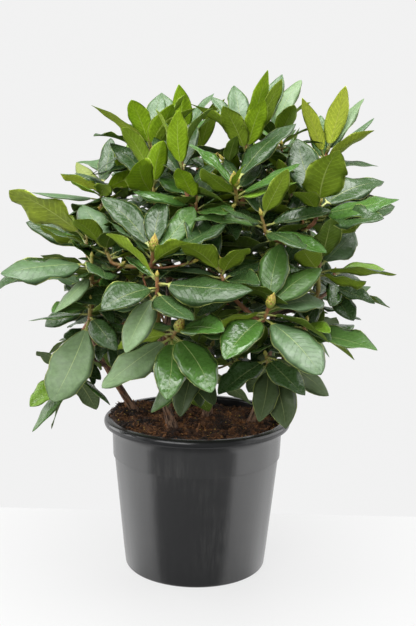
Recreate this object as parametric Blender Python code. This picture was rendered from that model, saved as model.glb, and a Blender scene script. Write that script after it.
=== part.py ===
"""A large-leaved rhododendron shrub in a round nursery pot.

Metres, +Z up. The origin is the middle of the pot's flat underside. The plant is one clump: four stems out
of the compost, a bough from a stem to each mass of leaves, and in each mass a stem that forks into shoots,
each shoot with a whorl of leaves round its tip.
"""

import math
import random

import bmesh
import bpy
from mathutils import Matrix, Vector
from mathutils.bvhtree import BVHTree

CM = 0.01                    # places and lengths in the plant's tables are in centimetres
GAP = 0.0003                 # between pieces that touch on the real thing

# The pot: a thin black shell with a rolled lip and a deep collar under it
POT_HEIGHT = 0.282
POT_BASE_RADIUS = 0.133
POT_LIP_RADIUS = 0.1745
POT_LIP_HEIGHT = 0.014
POT_COLLAR_RADIUS = 0.160
POT_COLLAR_FOOT = 0.212      # height of the step under the collar
POT_STEP = 0.0025
POT_STEP_HALF = 0.001        # the step slopes from this far below that height to this far above it
POT_STEP_INSIDE = 0.004      # and inside the wall it ends this far below
POT_SLOPE = 0.04             # how the collar narrows downwards
POT_WALL = 0.003
POT_FOOT_EDGE = 0.004
POT_ROLL = 0.004             # the rounding of the lip
POT_LIP_UNDERCUT = 0.0015
POT_SIDES = 44

# The compost: filled to just under the lip, heaped to the left
COMPOST_LEVEL = 0.266
COMPOST_HEAP = 0.014
COMPOST_HEAP_CURVE = 1.3     # above 1 the heap rises late, near the wall
COMPOST_RINGS = 5
COMPOST_ROUGH = 0.0022
COMPOST_CLEAR = 0.0008       # more than the gap to the pot's wall, whose flat sides come closer
COMPOST_FOOT_CLEAR = 0.0005  # the same at the foot
COMPOST_STEP_CLEAR = 0.0003  # and at the step
COMPOST_STEP = (-0.0046, 0.002)   # where its wall steps out, from the collar's foot
MOUND_TOP = 0.014            # the level mound of compost under each stem: its radii and its depth
MOUND_FOOT = 0.024
MOUND_DEPTH = 0.012
MOUND_OVER = 0.001
MOUND_SIDES = 8

# Leaves, as shares of a leaf's length
LEAF_WIDTH = 0.39
LEAF_THICK = 0.017
LEAF_BOW = 0.045
PETIOLE_WIDTH = 0.0042
LEAF_STATIONS = [(0.0, 0.0), (0.17, 0.0), (0.50, 1.0), (0.80, 0.74)]
LEAF_ROOT = 0.5              # a leaf's root is slimmer than its petiole, so that it stays inside its shoot
LEAF_CLEAR = 0.0006
BLADE_FROM = 0.1             # the share of a leaf's length where its blade is taken to begin

# A whorl: its leading leaves are placed, and the others fill the widest gaps between them
FACE_FRONT = 0.6             # how far leading leaves turn a face to the front
UNDER_RISE = 0.25            # a leading leaf that rises by more of its length shows its underside
LEAST_DEPTH = 0.5            # least square of a leading leaf's depth (cm)
FIRST_HEADING = 250.0        # of the first leaf of a whorl that has no leading ones (degrees)
HEADING_STRAY = 12           # degrees to either side
RISE_STRAY = (-48, 26)       # degrees on the whorl's own lift
LENGTH_RANGE = (0.78, 1.06)  # of the whorl's leaf size
WIDTH_RANGE = (0.86, 1.14)
BOW_RANGE = (0.2, 1.9)
ROLL_RANGE = 0.7             # of a leaf that fills a gap
ROLL_STRAY = 0.15
ROOT_OUT = 0.0006            # a leaf's root is sunk this far from the middle of its shoot
LOWEST_ROOT = 0.85           # share of the leafy part below the whorl's middle
WHORL_SEEDS = 100            # seeds kept for the whorls of one mass
PLACE_SEED = 7               # added to a whorl's seed for the tries at its leaves

# A leaf that meets something is tried again, turned, tilted and made smaller by up to this much
TRIES = 14
TURN_TRIED = 34              # degrees
TILT_TRIED = 0.5
SHORTER = 0.22
SLIMMER = 0.25

# Shoots (cm): the leafy part below and above a whorl's middle, then radii and their taper
SHOOT_BELOW = 2.6
SHOOT_ABOVE = 0.9
SHOOT_MAIN = 0.42
SHOOT_SIDE = 0.38
SHOOT_TAPER = (1.0, 0.95, 0.92, 0.85)
SHOOT_LEAN = 0.5             # how much of its way a shoot keeps at its end, against a turn upwards
SHOOT_UPWARD = (0.8, 0.45)   # that turn where the way rises steeply, and where it doesn't
SHOOT_STEEP = 0.35
SHOOT_FOLLOW = 0.4           # share of its run that the main shoot follows the bough
SHOOT_SAG = 0.12             # bow of a side shoot, as a share of its run
FORKS = (0.55, 0.45, 0.35, 0.25, 0.15)   # shares of the main shoot where others may leave it
FORK_RISE = 0.03             # a fork needs this rise, and this much more for each metre outwards
FORK_SLOPE = 0.35
FORK_APART = 0.03

# A bud: its length and radius (cm), how far it is sunk, and its rings (share of length, of radius)
BUD_LENGTH = 2.9
BUD_RADIUS = 0.62
BUD_SUNK = 0.006
BUD_ROOT = 0.45
BUD_RINGS = [(0.22, 0.95), (0.55, 0.85), (1.0, 0.12)]
BUD_SIDES = 5

SHARP_ANGLE = 35             # edges sharper than this stay sharp in the shading

# Each stem: radius at foot and tip (cm), then its way from the compost to its tip
STEMS = {
    "left_stem": (0.78, 0.52, [(-12.2, 3, 0), (-14.2, 2, 31.8), (-16.4, 0, 36), (-18.2, -2, 40)]),
    "front_stem": (0.86, 0.56, [(-4.5, -5, 0), (-6.0, -5.2, 33), (-6.6, -6, 39), (-5.4, -7, 47),
                                (-5.2, -6, 55)]),
    "middle_stem": (0.82, 0.54, [(1.8, 5, 0), (2.6, 4.4, 33), (2.4, 4, 39), (1.6, 3, 47), (2.6, 2, 56)]),
    "right_stem": (0.64, 0.48, [(10.2, 1, 0), (12.2, 0.4, 34), (13.2, -1, 41), (13.6, -2, 49),
                                (14.4, -2, 56)]),
}

STEM_STEPS = 8
STEM_SIDES = 8
STEM_END = 0.97              # a stem's end faces the way it runs from this share on
FLARE_HEIGHT = 0.012         # the foot's flare: its height, and its radii as multiples of the stem's
FLARE_FOOT = 1.5
FLARE_NECK = 1.1
FLARE_LEAN = 0.15            # share of the first step's way that the neck has gone

# Each bough: the stem that bears it, how far up that stem, and where its tip is
BOUGHS = {
    "left_low_bough": ("left_stem", 0.80, (-20.0, -8.0, 41.5)),
    "left_bough": ("left_stem", 1.0, (-18.8, -8.0, 50.0)),
    "left_high_bough": ("left_stem", 0.93, (-18.0, 2.5, 57.0)),
    "back_left_bough": ("left_stem", 0.70, (-18.5, 10.0, 49.0)),
    "front_low_bough": ("front_stem", 0.38, (-1.6, -11.5, 38.5)),
    "front_left_bough": ("front_stem", 0.55, (-6.2, -17.0, 47.0)),
    "front_left_high_bough": ("front_stem", 0.84, (-9.0, -14.5, 57.0)),
    "top_left_bough": ("front_stem", 1.0, (-7.5, -3.0, 66.0)),
    "centre_bough": ("front_stem", 0.93, (-1.2, -9.0, 62.0)),
    "front_right_bough": ("middle_stem", 0.62, (7.0, -14.5, 48.0)),
    "top_middle_bough": ("middle_stem", 0.93, (7.0, -6.0, 66.0)),
    "back_top_bough": ("middle_stem", 1.0, (-1.0, 9.0, 66.0)),
    "back_bough": ("middle_stem", 0.66, (2.0, 15.5, 48.5)),
    "back_low_bough": ("middle_stem", 0.40, (1.0, 14.0, 38.5)),
    "right_low_bough": ("right_stem", 0.42, (15.0, -11.5, 40.5)),
    "right_bough": ("right_stem", 0.72, (19.5, -8.0, 51.0)),
    "right_high_bough": ("right_stem", 0.92, (15.5, -10.5, 60.5)),
    "top_right_bough": ("right_stem", 1.0, (16.5, 1.0, 67.0)),
    "back_right_bough": ("right_stem", 0.84, (19.0, 9.0, 57.0)),
    "back_right_low_bough": ("right_stem", 0.52, (19.5, 9.5, 41.5)),
}
BOUGH_TAPER = (0.42, 0.30)   # radius at base and tip (cm)
BOUGH_SIDES = 5
BOUGH_STEPS = 3
BOUGH_OUT = 0.55             # a bough leaves its stem outwards more than up: shares of its run
BOUGH_UP = 0.38
BOUGH_STRAIGHT = 0.4         # share of its run that a bough on a stem's tip follows the stem
BOUGH_TIP_FIT = 0.97         # its radius there, as a share of the stem's
SEAT_STEP = 0.001            # a bough's start is moved out in steps of this share until it is clear


def whorl(x, y, z, lift, lead=(), leaves=8, size=12.8, bud=False):
    """A whorl's place (cm), the rise of its leaves (degrees), its leading leaves, and how many in all.

    A leading leaf is its reach to the right, its reach up and its length; with a minus, it leans back.
    """
    return dict(at=(x, y, z), lift=lift, lead=lead, leaves=leaves, size=size, bud=bud)


# Each mass of leaves: the bough that bears it, and its whorls, the one on the main shoot first
MASSES = {
    "top_left_leaves": ("top_left_bough", [
        whorl(-9, -3, 78, 48, [(-3, 7.6, 9.5), (1.2, 9.8, -12), (4.2, 7, 10), (-10, 6.6, 13),
                               (-6.5, 4.8, -10)], leaves=7, bud=True),
        whorl(-4.5, 3, 79, 50, [(0.3, 10, 11), (-3.5, 9.5, -12), (6.5, 9.5, -13), (3.8, 2.6, 8)]),
        whorl(-8, -8, 71.5, 35, [(-5, 9.2, 11.5), (-8.5, 7, -13)], leaves=6),
    ]),
    "top_middle_leaves": ("top_middle_bough", [
        whorl(8, -8, 79, 50, [(-6.8, 8, -12), (-4.3, 5.3, 9.5), (-2.4, 10, -12.5), (2.9, 11.2, 13.2),
                              (5.3, 9.9, 12.5), (6.6, 12, -15), (2.4, 6.3, 9.5)]),
        whorl(6, -16, 71, 40, [(-5.3, 3, 10), (3.4, 5.5, -11), (-1.8, 5, -8.5), (10.2, 11, -16.5)],
              bud=True),
        whorl(5, 2, 71, 30, leaves=7),
    ]),
    "top_right_leaves": ("top_right_bough", [
        whorl(13.7, 4, 80.5, 52, [(4.7, 10.8, -13), (2.6, 5.2, 8.5)]),
        whorl(22.5, 0, 77, 42, [(2.2, 11.7, 13.5), (3.4, 11.4, -13.5), (7.4, 10.8, -14.5), (-5.2, 9.6, 12.5),
                                (7.4, 4.2, 11), (-0.8, 7.4, -8.5)]),
        whorl(16, -5, 70, 35),
    ]),
    "centre_leaves": ("centre_bough", [
        whorl(-0.5, -12, 69, 30, [(-2.7, 5, 10), (-7.2, 5, -13), (3.8, 4, -12), (6, -2, 12)]),
        whorl(-3, -12, 74.5, 40, [(2.2, 7.5, -12), (-5.2, 5, -10)], leaves=6),
        whorl(2, -4, 61, 20),
    ]),
    "right_high_leaves": ("right_high_bough", [
        whorl(20, -14, 68, 25, [(1.9, 9.2, 13), (-3.4, 11.6, -14), (12, 1.7, 14), (11.8, 4.5, -14),
                                (13.8, 0.3, -15), (9.4, -1.3, 13), (-4.7, 2.5, 9)], leaves=9),
        whorl(10.5, -18, 66, 25, [(3.6, 8.2, 10), (-1.5, 6.5, -11), (-6.5, 2, 11), (6.2, -4, 12)]),
        whorl(12, -9, 59, 15),
    ]),
    "right_leaves": ("right_bough", [
        whorl(20.5, -14, 58.5, 15, [(6.7, 5.2, -11), (0.7, 8, 11), (-3.5, 3, 9)]),
        whorl(24, -5, 55.5, 5, [(10.5, 0.8, -13), (6.6, -2, -11), (6.2, -3.6, 11), (2.7, -6.6, 11)]),
    ]),
    "right_low_leaves": ("right_low_bough", [
        whorl(11.7, -20, 43.5, -20, [(-1.3, -9.5, 12.5), (2.9, -9.7, 13), (5.7, -4.2, 11), (10.5, -4.2, 13),
                                     (-7.8, -4.5, 12)]),
        whorl(18.4, -14, 48, -5, [(11, -2.5, 14), (3.4, 0, 8), (5, 0.5, 9)]),
    ]),
    "front_right_leaves": ("front_right_bough", [
        whorl(11.4, -26, 52.5, 10, [(9, 5.9, -13), (9.5, 0.3, -13), (7.6, -8.5, 14.5), (-6.7, -6.5, 13),
                                    (2.2, 9.8, -12)], bud=True),
        whorl(4, -22, 57.5, 20, [(-5.4, 9.6, -13), (-6, 5, 11), (5.9, -0.8, 10), (4, 4.6, 9)], bud=True),
    ]),
    "front_left_leaves": ("front_left_bough", [
        whorl(-6, -26, 56.5, 10, [(-4, -10, 13.5), (6, -4.7, 12), (14.8, -0.6, 15.6), (-7.6, -3.4, 12)]),
        whorl(-3, -25, 48.5, -15, [(-10.9, -8, 15), (-0.8, -9, 13), (5.9, -7.5, 14), (7.6, 1.6, 12)],
              bud=True),
        whorl(-12, -11, 54.5, 10, leaves=7),
    ]),
    "front_left_high_leaves": ("front_left_high_bough", [
        whorl(-7, -22, 60.5, 30, [(-9.3, 8.5, -15), (-4.1, 7.3, -12), (1.1, 8.5, -11), (6, 2.2, 8.5),
                                  (6, 7.4, -12)], bud=True),
        whorl(-15.5, -15, 60.5, 25, [(-5.4, 7, -12), (-4, 5, 10)], leaves=7, bud=True),
    ]),
    "front_low_leaves": ("front_low_bough", [
        whorl(-0.2, -16, 42, -30, [(-2, -8, 11), (3.2, -6.8, 10), (0.5, -7, 9)], leaves=7),
    ]),
    "left_leaves": ("left_bough", [
        whorl(-17.5, -17, 58.5, 10, [(-13.3, -1.5, 15.5), (-15.4, -4.8, 16.5), (-4.9, -7.6, 12)], leaves=7),
        whorl(-20, -6, 61.5, 25, [(-12.3, 8.4, 16), (-7, 3, 11)], leaves=7),
    ]),
    "left_low_leaves": ("left_low_bough", [
        whorl(-17.8, -17, 51, 0, [(-5.3, -15, 17), (-4.8, 2.5, -10), (-5, 0, 9)], leaves=7),
        whorl(-22.5, -12, 38.5, -30, [(-4.9, -8.9, 12), (-5.5, -4.8, 9), (-4, 5, 9)], leaves=6, size=11),
    ]),
    "left_high_leaves": ("left_high_bough", [
        whorl(-19, 6, 70, 35, [(-5.9, 5.3, -11), (-6.5, 2.9, 10), (-4.2, 1.7, 10), (1, 10, -12)]),
        whorl(-11, 2, 64, 25),
    ]),
    "back_left_leaves": ("back_left_bough", [
        whorl(-21, 17, 60, 25, size=14),
        whorl(-22, 9, 51, 0, leaves=7, size=13),
        whorl(-16, 21, 48, -10, size=14),
        whorl(-20, 13, 43, -20, leaves=6, size=12),
    ]),
    "back_top_leaves": ("back_top_bough", [
        whorl(-1, 15, 77, 48, bud=True, size=14),
        whorl(-13, 13, 73, 40, size=14),
        whorl(-5, 22, 66, 25, size=14),
    ]),
    "back_leaves": ("back_bough", [
        whorl(1, 26, 58, 15, size=14),
        whorl(11, 26, 61, 20, bud=True, size=14),
        whorl(-8, 25, 53, 5, size=14),
    ]),
    "back_low_leaves": ("back_low_bough", [
        whorl(5, 23, 44, -20, size=14),
        whorl(-8, 19, 44, -25, leaves=7, size=14),
    ]),
    "back_right_leaves": ("back_right_bough", [
        whorl(19, 18, 64, 25, bud=True, size=14),
        whorl(13, 15, 73, 42, size=14),
        whorl(24.5, 11, 62, 20, size=13),
    ]),
    "back_right_low_leaves": ("back_right_low_bough", [
        whorl(22, 14, 49, -5, size=13),
        whorl(16, 20, 46, -15, size=14),
        whorl(20, 2, 46, -10, leaves=7, size=12),
    ]),
}

COLOURS = {
    "pot": ((0.022, 0.023, 0.025, 1), 0.38),
    "compost": ((0.085, 0.040, 0.020, 1), 0.95),
    "stem": ((0.135, 0.070, 0.042, 1), 0.85),
    "leaves": ((0.055, 0.130, 0.035, 1), 0.42),
}


def clear_scene():
    for thing in list(bpy.data.objects):
        bpy.data.objects.remove(thing)


def add_object(name, mesh, kind):
    """An object for one node, with its own material."""
    thing = bpy.data.objects.new(name, mesh)
    bpy.context.scene.collection.objects.link(thing)
    colour, roughness = COLOURS[kind]
    material = bpy.data.materials.new(name)
    material.use_nodes = True
    shader = material.node_tree.nodes["Principled BSDF"]
    shader.inputs["Base Color"].default_value = colour
    shader.inputs["Roughness"].default_value = roughness
    mesh.materials.append(material)
    return thing


def mesh_from(points, faces):
    """A mesh with its faces turned outwards."""
    mesh = bpy.data.meshes.new("shape")
    mesh.from_pydata([tuple(p) for p in points], [], faces)
    form = bmesh.new()
    form.from_mesh(mesh)
    bmesh.ops.recalc_face_normals(form, faces=form.faces)
    form.to_mesh(mesh)
    form.free()
    return mesh


def shade_round(mesh):
    mesh.shade_smooth()
    mesh.set_sharp_from_angle(angle=math.radians(SHARP_ANGLE))


# Pot and compost

def pot_radius(height):
    """The pot's outer radius at a height, without its lip."""
    if height >= POT_COLLAR_FOOT:
        return POT_COLLAR_RADIUS - (POT_HEIGHT - height) * POT_SLOPE
    share = height / POT_COLLAR_FOOT
    top = POT_COLLAR_RADIUS - (POT_HEIGHT - POT_COLLAR_FOOT) * POT_SLOPE - POT_STEP
    return POT_BASE_RADIUS + (top - POT_BASE_RADIUS) * share


def turned(profile, sides):
    """A closed outline of (radius, height) turned round Z; a radius of 0 is a single point."""
    points = []
    rings = []
    for radius, height in profile:
        if radius == 0:
            rings.append([len(points)] * sides)
            points.append((0, 0, height))
            continue
        rings.append(list(range(len(points), len(points) + sides)))
        for k in range(sides):
            angle = math.tau * k / sides
            points.append((radius * math.cos(angle), radius * math.sin(angle), height))
    faces = []
    for low, high in zip(rings, rings[1:]):
        for k in range(sides):
            after = (k + 1) % sides
            face = [low[k], low[after], high[after], high[k]]
            faces.append([v for i, v in enumerate(face) if v not in face[:i]])
    return mesh_from(points, faces)


def make_pot():
    lip_foot = POT_HEIGHT - POT_LIP_HEIGHT
    collar = POT_COLLAR_FOOT
    inner = POT_COLLAR_RADIUS - POT_WALL
    outside = [
        (0, 0),
        (POT_BASE_RADIUS - POT_FOOT_EDGE, 0),
        (POT_BASE_RADIUS, POT_FOOT_EDGE),
        (pot_radius(collar - POT_STEP_HALF), collar - POT_STEP_HALF),
        (pot_radius(collar), collar + POT_STEP_HALF),
        (pot_radius(lip_foot), lip_foot),
        (POT_LIP_RADIUS - POT_LIP_UNDERCUT, lip_foot),
        (POT_LIP_RADIUS, lip_foot + POT_ROLL),
        (POT_LIP_RADIUS, POT_HEIGHT - POT_ROLL),
        (POT_LIP_RADIUS - POT_ROLL, POT_HEIGHT),
    ]
    inside = [
        (inner + POT_ROLL, POT_HEIGHT),
        (inner, POT_HEIGHT - POT_ROLL),
        (pot_radius(collar) - POT_WALL, collar - POT_STEP_HALF),
        (pot_radius(collar - POT_STEP_HALF) - POT_WALL, collar - POT_STEP_INSIDE),
        (POT_BASE_RADIUS - POT_WALL, POT_WALL),
        (0, POT_WALL),
    ]
    mesh = turned(outside + inside, POT_SIDES)
    shade_round(mesh)
    return add_object("nursery_pot", mesh, "pot")


def compost_height(x, y):
    """The height of the compost between the stems: uneven, and heaped to the left."""
    reach = math.hypot(x, y) / POT_COLLAR_RADIUS
    side = max(0.0, -x / POT_COLLAR_RADIUS)
    height = COMPOST_LEVEL + COMPOST_HEAP * side ** COMPOST_HEAP_CURVE
    rough = math.sin(91 * x + 2.0) * math.cos(83 * y - 1.0) + 0.7 * math.sin(151 * y + 47 * x)
    return height + COMPOST_ROUGH * rough * (1 - 0.5 * reach)


def foot_height(name):
    """The level top of the low mound under a stem: just over the compost round it."""
    x, y, _ = STEMS[name][2][0]
    around = []
    for radius in (0, MOUND_FOOT / 2, MOUND_FOOT):
        for k in range(MOUND_SIDES):
            angle = math.tau * k / MOUND_SIDES
            side = x * CM + radius * math.cos(angle)
            away = y * CM + radius * math.sin(angle)
            around.append(compost_height(side, away))
    return max(around) + MOUND_OVER


def make_compost():
    """One solid: a wall that follows the pot's inside, an uneven top, and a low mound under each stem."""
    clear = POT_WALL + GAP
    below_step = pot_radius(POT_COLLAR_FOOT - POT_STEP_HALF)
    below = [
        (POT_BASE_RADIUS - clear - COMPOST_FOOT_CLEAR, clear),
        (below_step - clear - COMPOST_STEP_CLEAR, POT_COLLAR_FOOT + COMPOST_STEP[0]),
        (pot_radius(POT_COLLAR_FOOT) - clear - COMPOST_STEP_CLEAR, POT_COLLAR_FOOT + COMPOST_STEP[1]),
    ]
    edge = POT_COLLAR_RADIUS - clear - COMPOST_CLEAR
    points = []
    for radius, height in below:
        for k in range(POT_SIDES):
            angle = math.tau * k / POT_SIDES
            points.append(Vector((radius * math.cos(angle), radius * math.sin(angle), height)))
    for step in range(COMPOST_RINGS):
        radius = edge * (1 - step / COMPOST_RINGS)
        for k in range(POT_SIDES):
            angle = math.tau * (k + 0.5 * (step % 2)) / POT_SIDES
            x = radius * math.cos(angle)
            y = radius * math.sin(angle)
            points.append(Vector((x, y, compost_height(x, y))))
    rings = len(points) // POT_SIDES
    points.append(Vector((0, 0, compost_height(0, 0))))
    faces = [list(range(POT_SIDES))]
    for i in range(rings - 1):
        for k in range(POT_SIDES):
            low = i * POT_SIDES + k
            near = i * POT_SIDES + (k + 1) % POT_SIDES
            faces.append([low, near, low + POT_SIDES])
            faces.append([near, near + POT_SIDES, low + POT_SIDES])
    last = (rings - 1) * POT_SIDES
    for k in range(POT_SIDES):
        faces.append([last + k, last + (k + 1) % POT_SIDES, len(points) - 1])
    pieces = [(points, faces)]
    for name, (_, _, way) in STEMS.items():
        top = Vector((way[0][0] * CM, way[0][1] * CM, foot_height(name)))
        foot = top - Vector((0, 0, MOUND_DEPTH))
        pieces.append(tube([foot, top], [MOUND_FOOT, MOUND_TOP], MOUND_SIDES))
    return fuse("compost", pieces, "compost")


# Limbs

def along(way, share):
    """A point on a smooth curve through the way's points, at a share of its run."""
    spans = len(way) - 1
    index = min(int(share * spans), spans - 1)
    t = share * spans - index
    b, c = way[index], way[index + 1]
    a = way[index - 1] if index else b * 2 - c
    d = way[index + 2] if index + 2 <= spans else c * 2 - b
    return 0.5 * ((2 * b) + (c - a) * t + (2 * a - 5 * b + 4 * c - d) * t * t
                  + (3 * b - a - 3 * c + d) * t * t * t)


def bend(start, guide, end, share):
    """A point on the curve from start to end that leaves start towards guide."""
    return start * (1 - share) ** 2 + guide * (2 * share * (1 - share)) + end * share ** 2


def tube(path, radii, sides, first=None, last=None):
    """A closed tube along a path: its points and faces. first and last turn its end faces."""
    points = []
    side = None
    for i, place in enumerate(path):
        ahead = path[min(i + 1, len(path) - 1)] - path[max(i - 1, 0)]
        if i == 0 and first is not None:
            ahead = first
        if i == len(path) - 1 and last is not None:
            ahead = last
        ahead = ahead.normalized()
        if side is None:
            side = ahead.orthogonal()
        side = (side - ahead * side.dot(ahead)).normalized()
        other = ahead.cross(side)
        for k in range(sides):
            angle = math.tau * k / sides
            points.append(place + (side * math.cos(angle) + other * math.sin(angle)) * radii[i])
    faces = [list(range(sides))[::-1], list(range(len(points) - sides, len(points)))]
    for i in range(len(path) - 1):
        for k in range(sides):
            low = i * sides + k
            near = i * sides + (k + 1) % sides
            faces.append([low, near, near + sides, low + sides])
    return points, faces


def stem_way(name):
    way = [Vector(p) * CM for p in STEMS[name][2]]
    way[0].z = foot_height(name) + GAP
    return way


def make_stem(name):
    """A stem with a flared foot, cut level just over the compost."""
    foot, tip, _ = STEMS[name]
    way = stem_way(name)
    path = [along(way, k / STEM_STEPS) for k in range(STEM_STEPS + 1)]
    radii = [(foot + (tip - foot) * k / STEM_STEPS) * CM for k in range(STEM_STEPS + 1)]
    neck = way[0] + Vector((0, 0, FLARE_HEIGHT))
    path.insert(1, neck + (path[1] - path[0]) * FLARE_LEAN)
    radii.insert(1, radii[0] * FLARE_NECK)
    radii[0] *= FLARE_FOOT
    end = along(way, 1.0) - along(way, STEM_END)
    points, faces = tube(path, radii, STEM_SIDES, first=Vector((0, 0, 1)), last=end)
    mesh = mesh_from(points, faces)
    shade_round(mesh)
    return add_object(name, mesh, "stem"), end.normalized()


def surface(mesh):
    """The mesh as a tree that distances can be measured to."""
    form = bmesh.new()
    form.from_mesh(mesh)
    tree = BVHTree.FromBMesh(form)
    form.free()
    return tree


def outside_by(tree, points):
    """The least distance of the points outside a surface; below 0 where one is inside it."""
    least = 1.0
    for point in points:
        near, normal, _, distance = tree.find_nearest(point)
        if (point - near).dot(normal) < 0:
            distance = -distance
        least = min(least, distance)
    return least


def make_bough(name, stem_tree, stem_end):
    """A tapering limb to its mass: end to end with its stem's tip, or seated on its stem's side."""
    stem, share, tip = BOUGHS[name]
    way = stem_way(stem)
    end = Vector(tip) * CM
    base = along(way, share)
    thick, thin = (radius * CM for radius in BOUGH_TAPER)
    run = end - base
    guide = base + Vector((run.x * BOUGH_OUT, run.y * BOUGH_OUT, run.z * BOUGH_UP))
    first = None
    start = 0.0
    if share == 1.0:
        base = base + stem_end * GAP
        guide = base + stem_end * (run.length * BOUGH_STRAIGHT)
        thick = STEMS[stem][1] * CM * BOUGH_TIP_FIT
        first = stem_end
    last = (end - guide).normalized()
    clear = -1.0
    while clear < GAP:
        shares = [start + (1 - start) * k / BOUGH_STEPS for k in range(BOUGH_STEPS + 1)]
        path = [bend(base, guide, end, t) for t in shares]
        radii = [thick + (thin - thick) * k / BOUGH_STEPS for k in range(BOUGH_STEPS + 1)]
        points, faces = tube(path, radii, BOUGH_SIDES, first=first, last=last)
        if share == 1.0:
            break
        ring = points[:BOUGH_SIDES]
        middles = [(a + b) / 2 for a, b in zip(ring, ring[1:] + ring[:1])]
        clear = outside_by(stem_tree, ring + middles + [path[0]])
        if stem_tree.overlap(BVHTree.FromPolygons([tuple(p) for p in points], faces)):
            clear = -1.0
        start += SEAT_STEP
    mesh = mesh_from(points, faces)
    shade_round(mesh)
    return add_object(name, mesh, "stem"), end, last


# Shoots and leaves

def shoot_direction(place, base):
    """A shoot turns up at its end and leans a little away from where it comes from."""
    lean = (place - base).normalized()
    upward = SHOOT_UPWARD[0] if lean.z > SHOOT_STEEP else SHOOT_UPWARD[1]
    return (lean * SHOOT_LEAN + Vector((0, 0, upward))).normalized()


def fork_share(main, place):
    """How far up the mass's stem a shoot forks off: as high as leaves it a rising way to its place."""
    for share in FORKS:
        base = along(main, share)
        level = math.hypot(place.x - base.x, place.y - base.y)
        if place.z - base.z > FORK_RISE + FORK_SLOPE * level:
            return share
    return FORKS[-1]


def mass_twigs(bough_end, bough_ahead, whorls):
    """The mass's stem to its first whorl, and a shoot from it to each other whorl."""
    twigs = []
    main = None
    for index, item in enumerate(whorls):
        place = Vector(item["at"]) * CM
        if index == 0:
            base = bough_end + bough_ahead * GAP
            first = bough_ahead
            thick = SHOOT_MAIN * CM
        else:
            base = along(main, fork_share(main, place) + FORK_APART * index)
            first = None
            thick = SHOOT_SIDE * CM
        ahead = shoot_direction(place, base)
        low = place - ahead * SHOOT_BELOW * CM
        high = place + ahead * SHOOT_ABOVE * CM
        run = (low - base).length
        if index == 0:
            bow = base + bough_ahead * (run * SHOOT_FOLLOW)
        else:
            bow = base.lerp(low, 0.5) - ahead * (run * SHOOT_SAG)
        middle = bend(base, bow, low, 0.5)
        path = [base, middle, low, high]
        if index == 0:
            main = [base, middle, low, high]
        radii = [thick * share for share in SHOOT_TAPER]
        twigs.append((path, radii, first, ahead))
    return twigs


def leaf_frame(reach, roll):
    """The leaf's side and upper face for a reach, turned by roll about it."""
    ahead = reach.normalized()
    level = Vector((ahead.x, ahead.y, 0))
    level = level.normalized() if level.length > 1e-4 else Vector((0, -1, 0))
    rise = math.asin(max(-1.0, min(1.0, ahead.z)))
    upper = Vector((0, 0, 1)) * math.cos(rise) - level * math.sin(rise)
    turn = Matrix.Rotation(roll, 3, ahead)
    upper = turn @ upper
    return ahead.cross(upper), upper


def leaf_solid(root, tip, wide, roll, bow, spare=0.0, start=0.0):
    """A leaf on its petiole: three-cornered rings from root to tip, flat above with a keel below.

    spare swells it, and start leaves out the rings before that share, to measure clearances.
    """
    reach = tip - root
    length = reach.length
    side, upper = leaf_frame(reach, roll)
    half = 0.5 * LEAF_WIDTH * wide * length
    keel = LEAF_THICK * length + spare
    points = []
    for share, spread in LEAF_STATIONS:
        if share < start:
            continue
        lift = bow * length * 4 * share * (1 - share)
        centre = root + reach * share + upper * lift
        slim = LEAF_ROOT if share == 0 else 1.0
        across = max(PETIOLE_WIDTH / 2, half * spread) * slim + spare
        rim = centre + upper * spare
        points += [rim - side * across, rim + side * across, centre - upper * keel * slim]
    rings = len(points) // 3
    points.append(tip)
    faces = [[0, 1, 2]]
    for i in range(rings - 1):
        for k in range(3):
            low = i * 3 + k
            near = i * 3 + (k + 1) % 3
            faces.append([low, near, near + 3])
            faces.append([low, near + 3, low + 3])
    last = (rings - 1) * 3
    for k in range(3):
        faces.append([last + k, last + (k + 1) % 3, len(points) - 1])
    return points, faces


def widest_gap(headings):
    """The middle of the widest gap between headings, in degrees."""
    if not headings:
        return FIRST_HEADING
    ordered = sorted(h % 360 for h in headings)
    gaps = []
    for a, b in zip(ordered, ordered[1:] + [ordered[0] + 360]):
        gaps.append((b - a, (a + b) / 2))
    return max(gaps)[1] % 360


def roll_to_front(reach, share):
    """The roll that turns a leaf's upper face some way to the front of the plant, or from it."""
    side, upper = leaf_frame(reach, 0.0)
    turned = upper + Vector((0, -share, 0))
    return math.atan2(turned.dot(side), turned.dot(upper))


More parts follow.
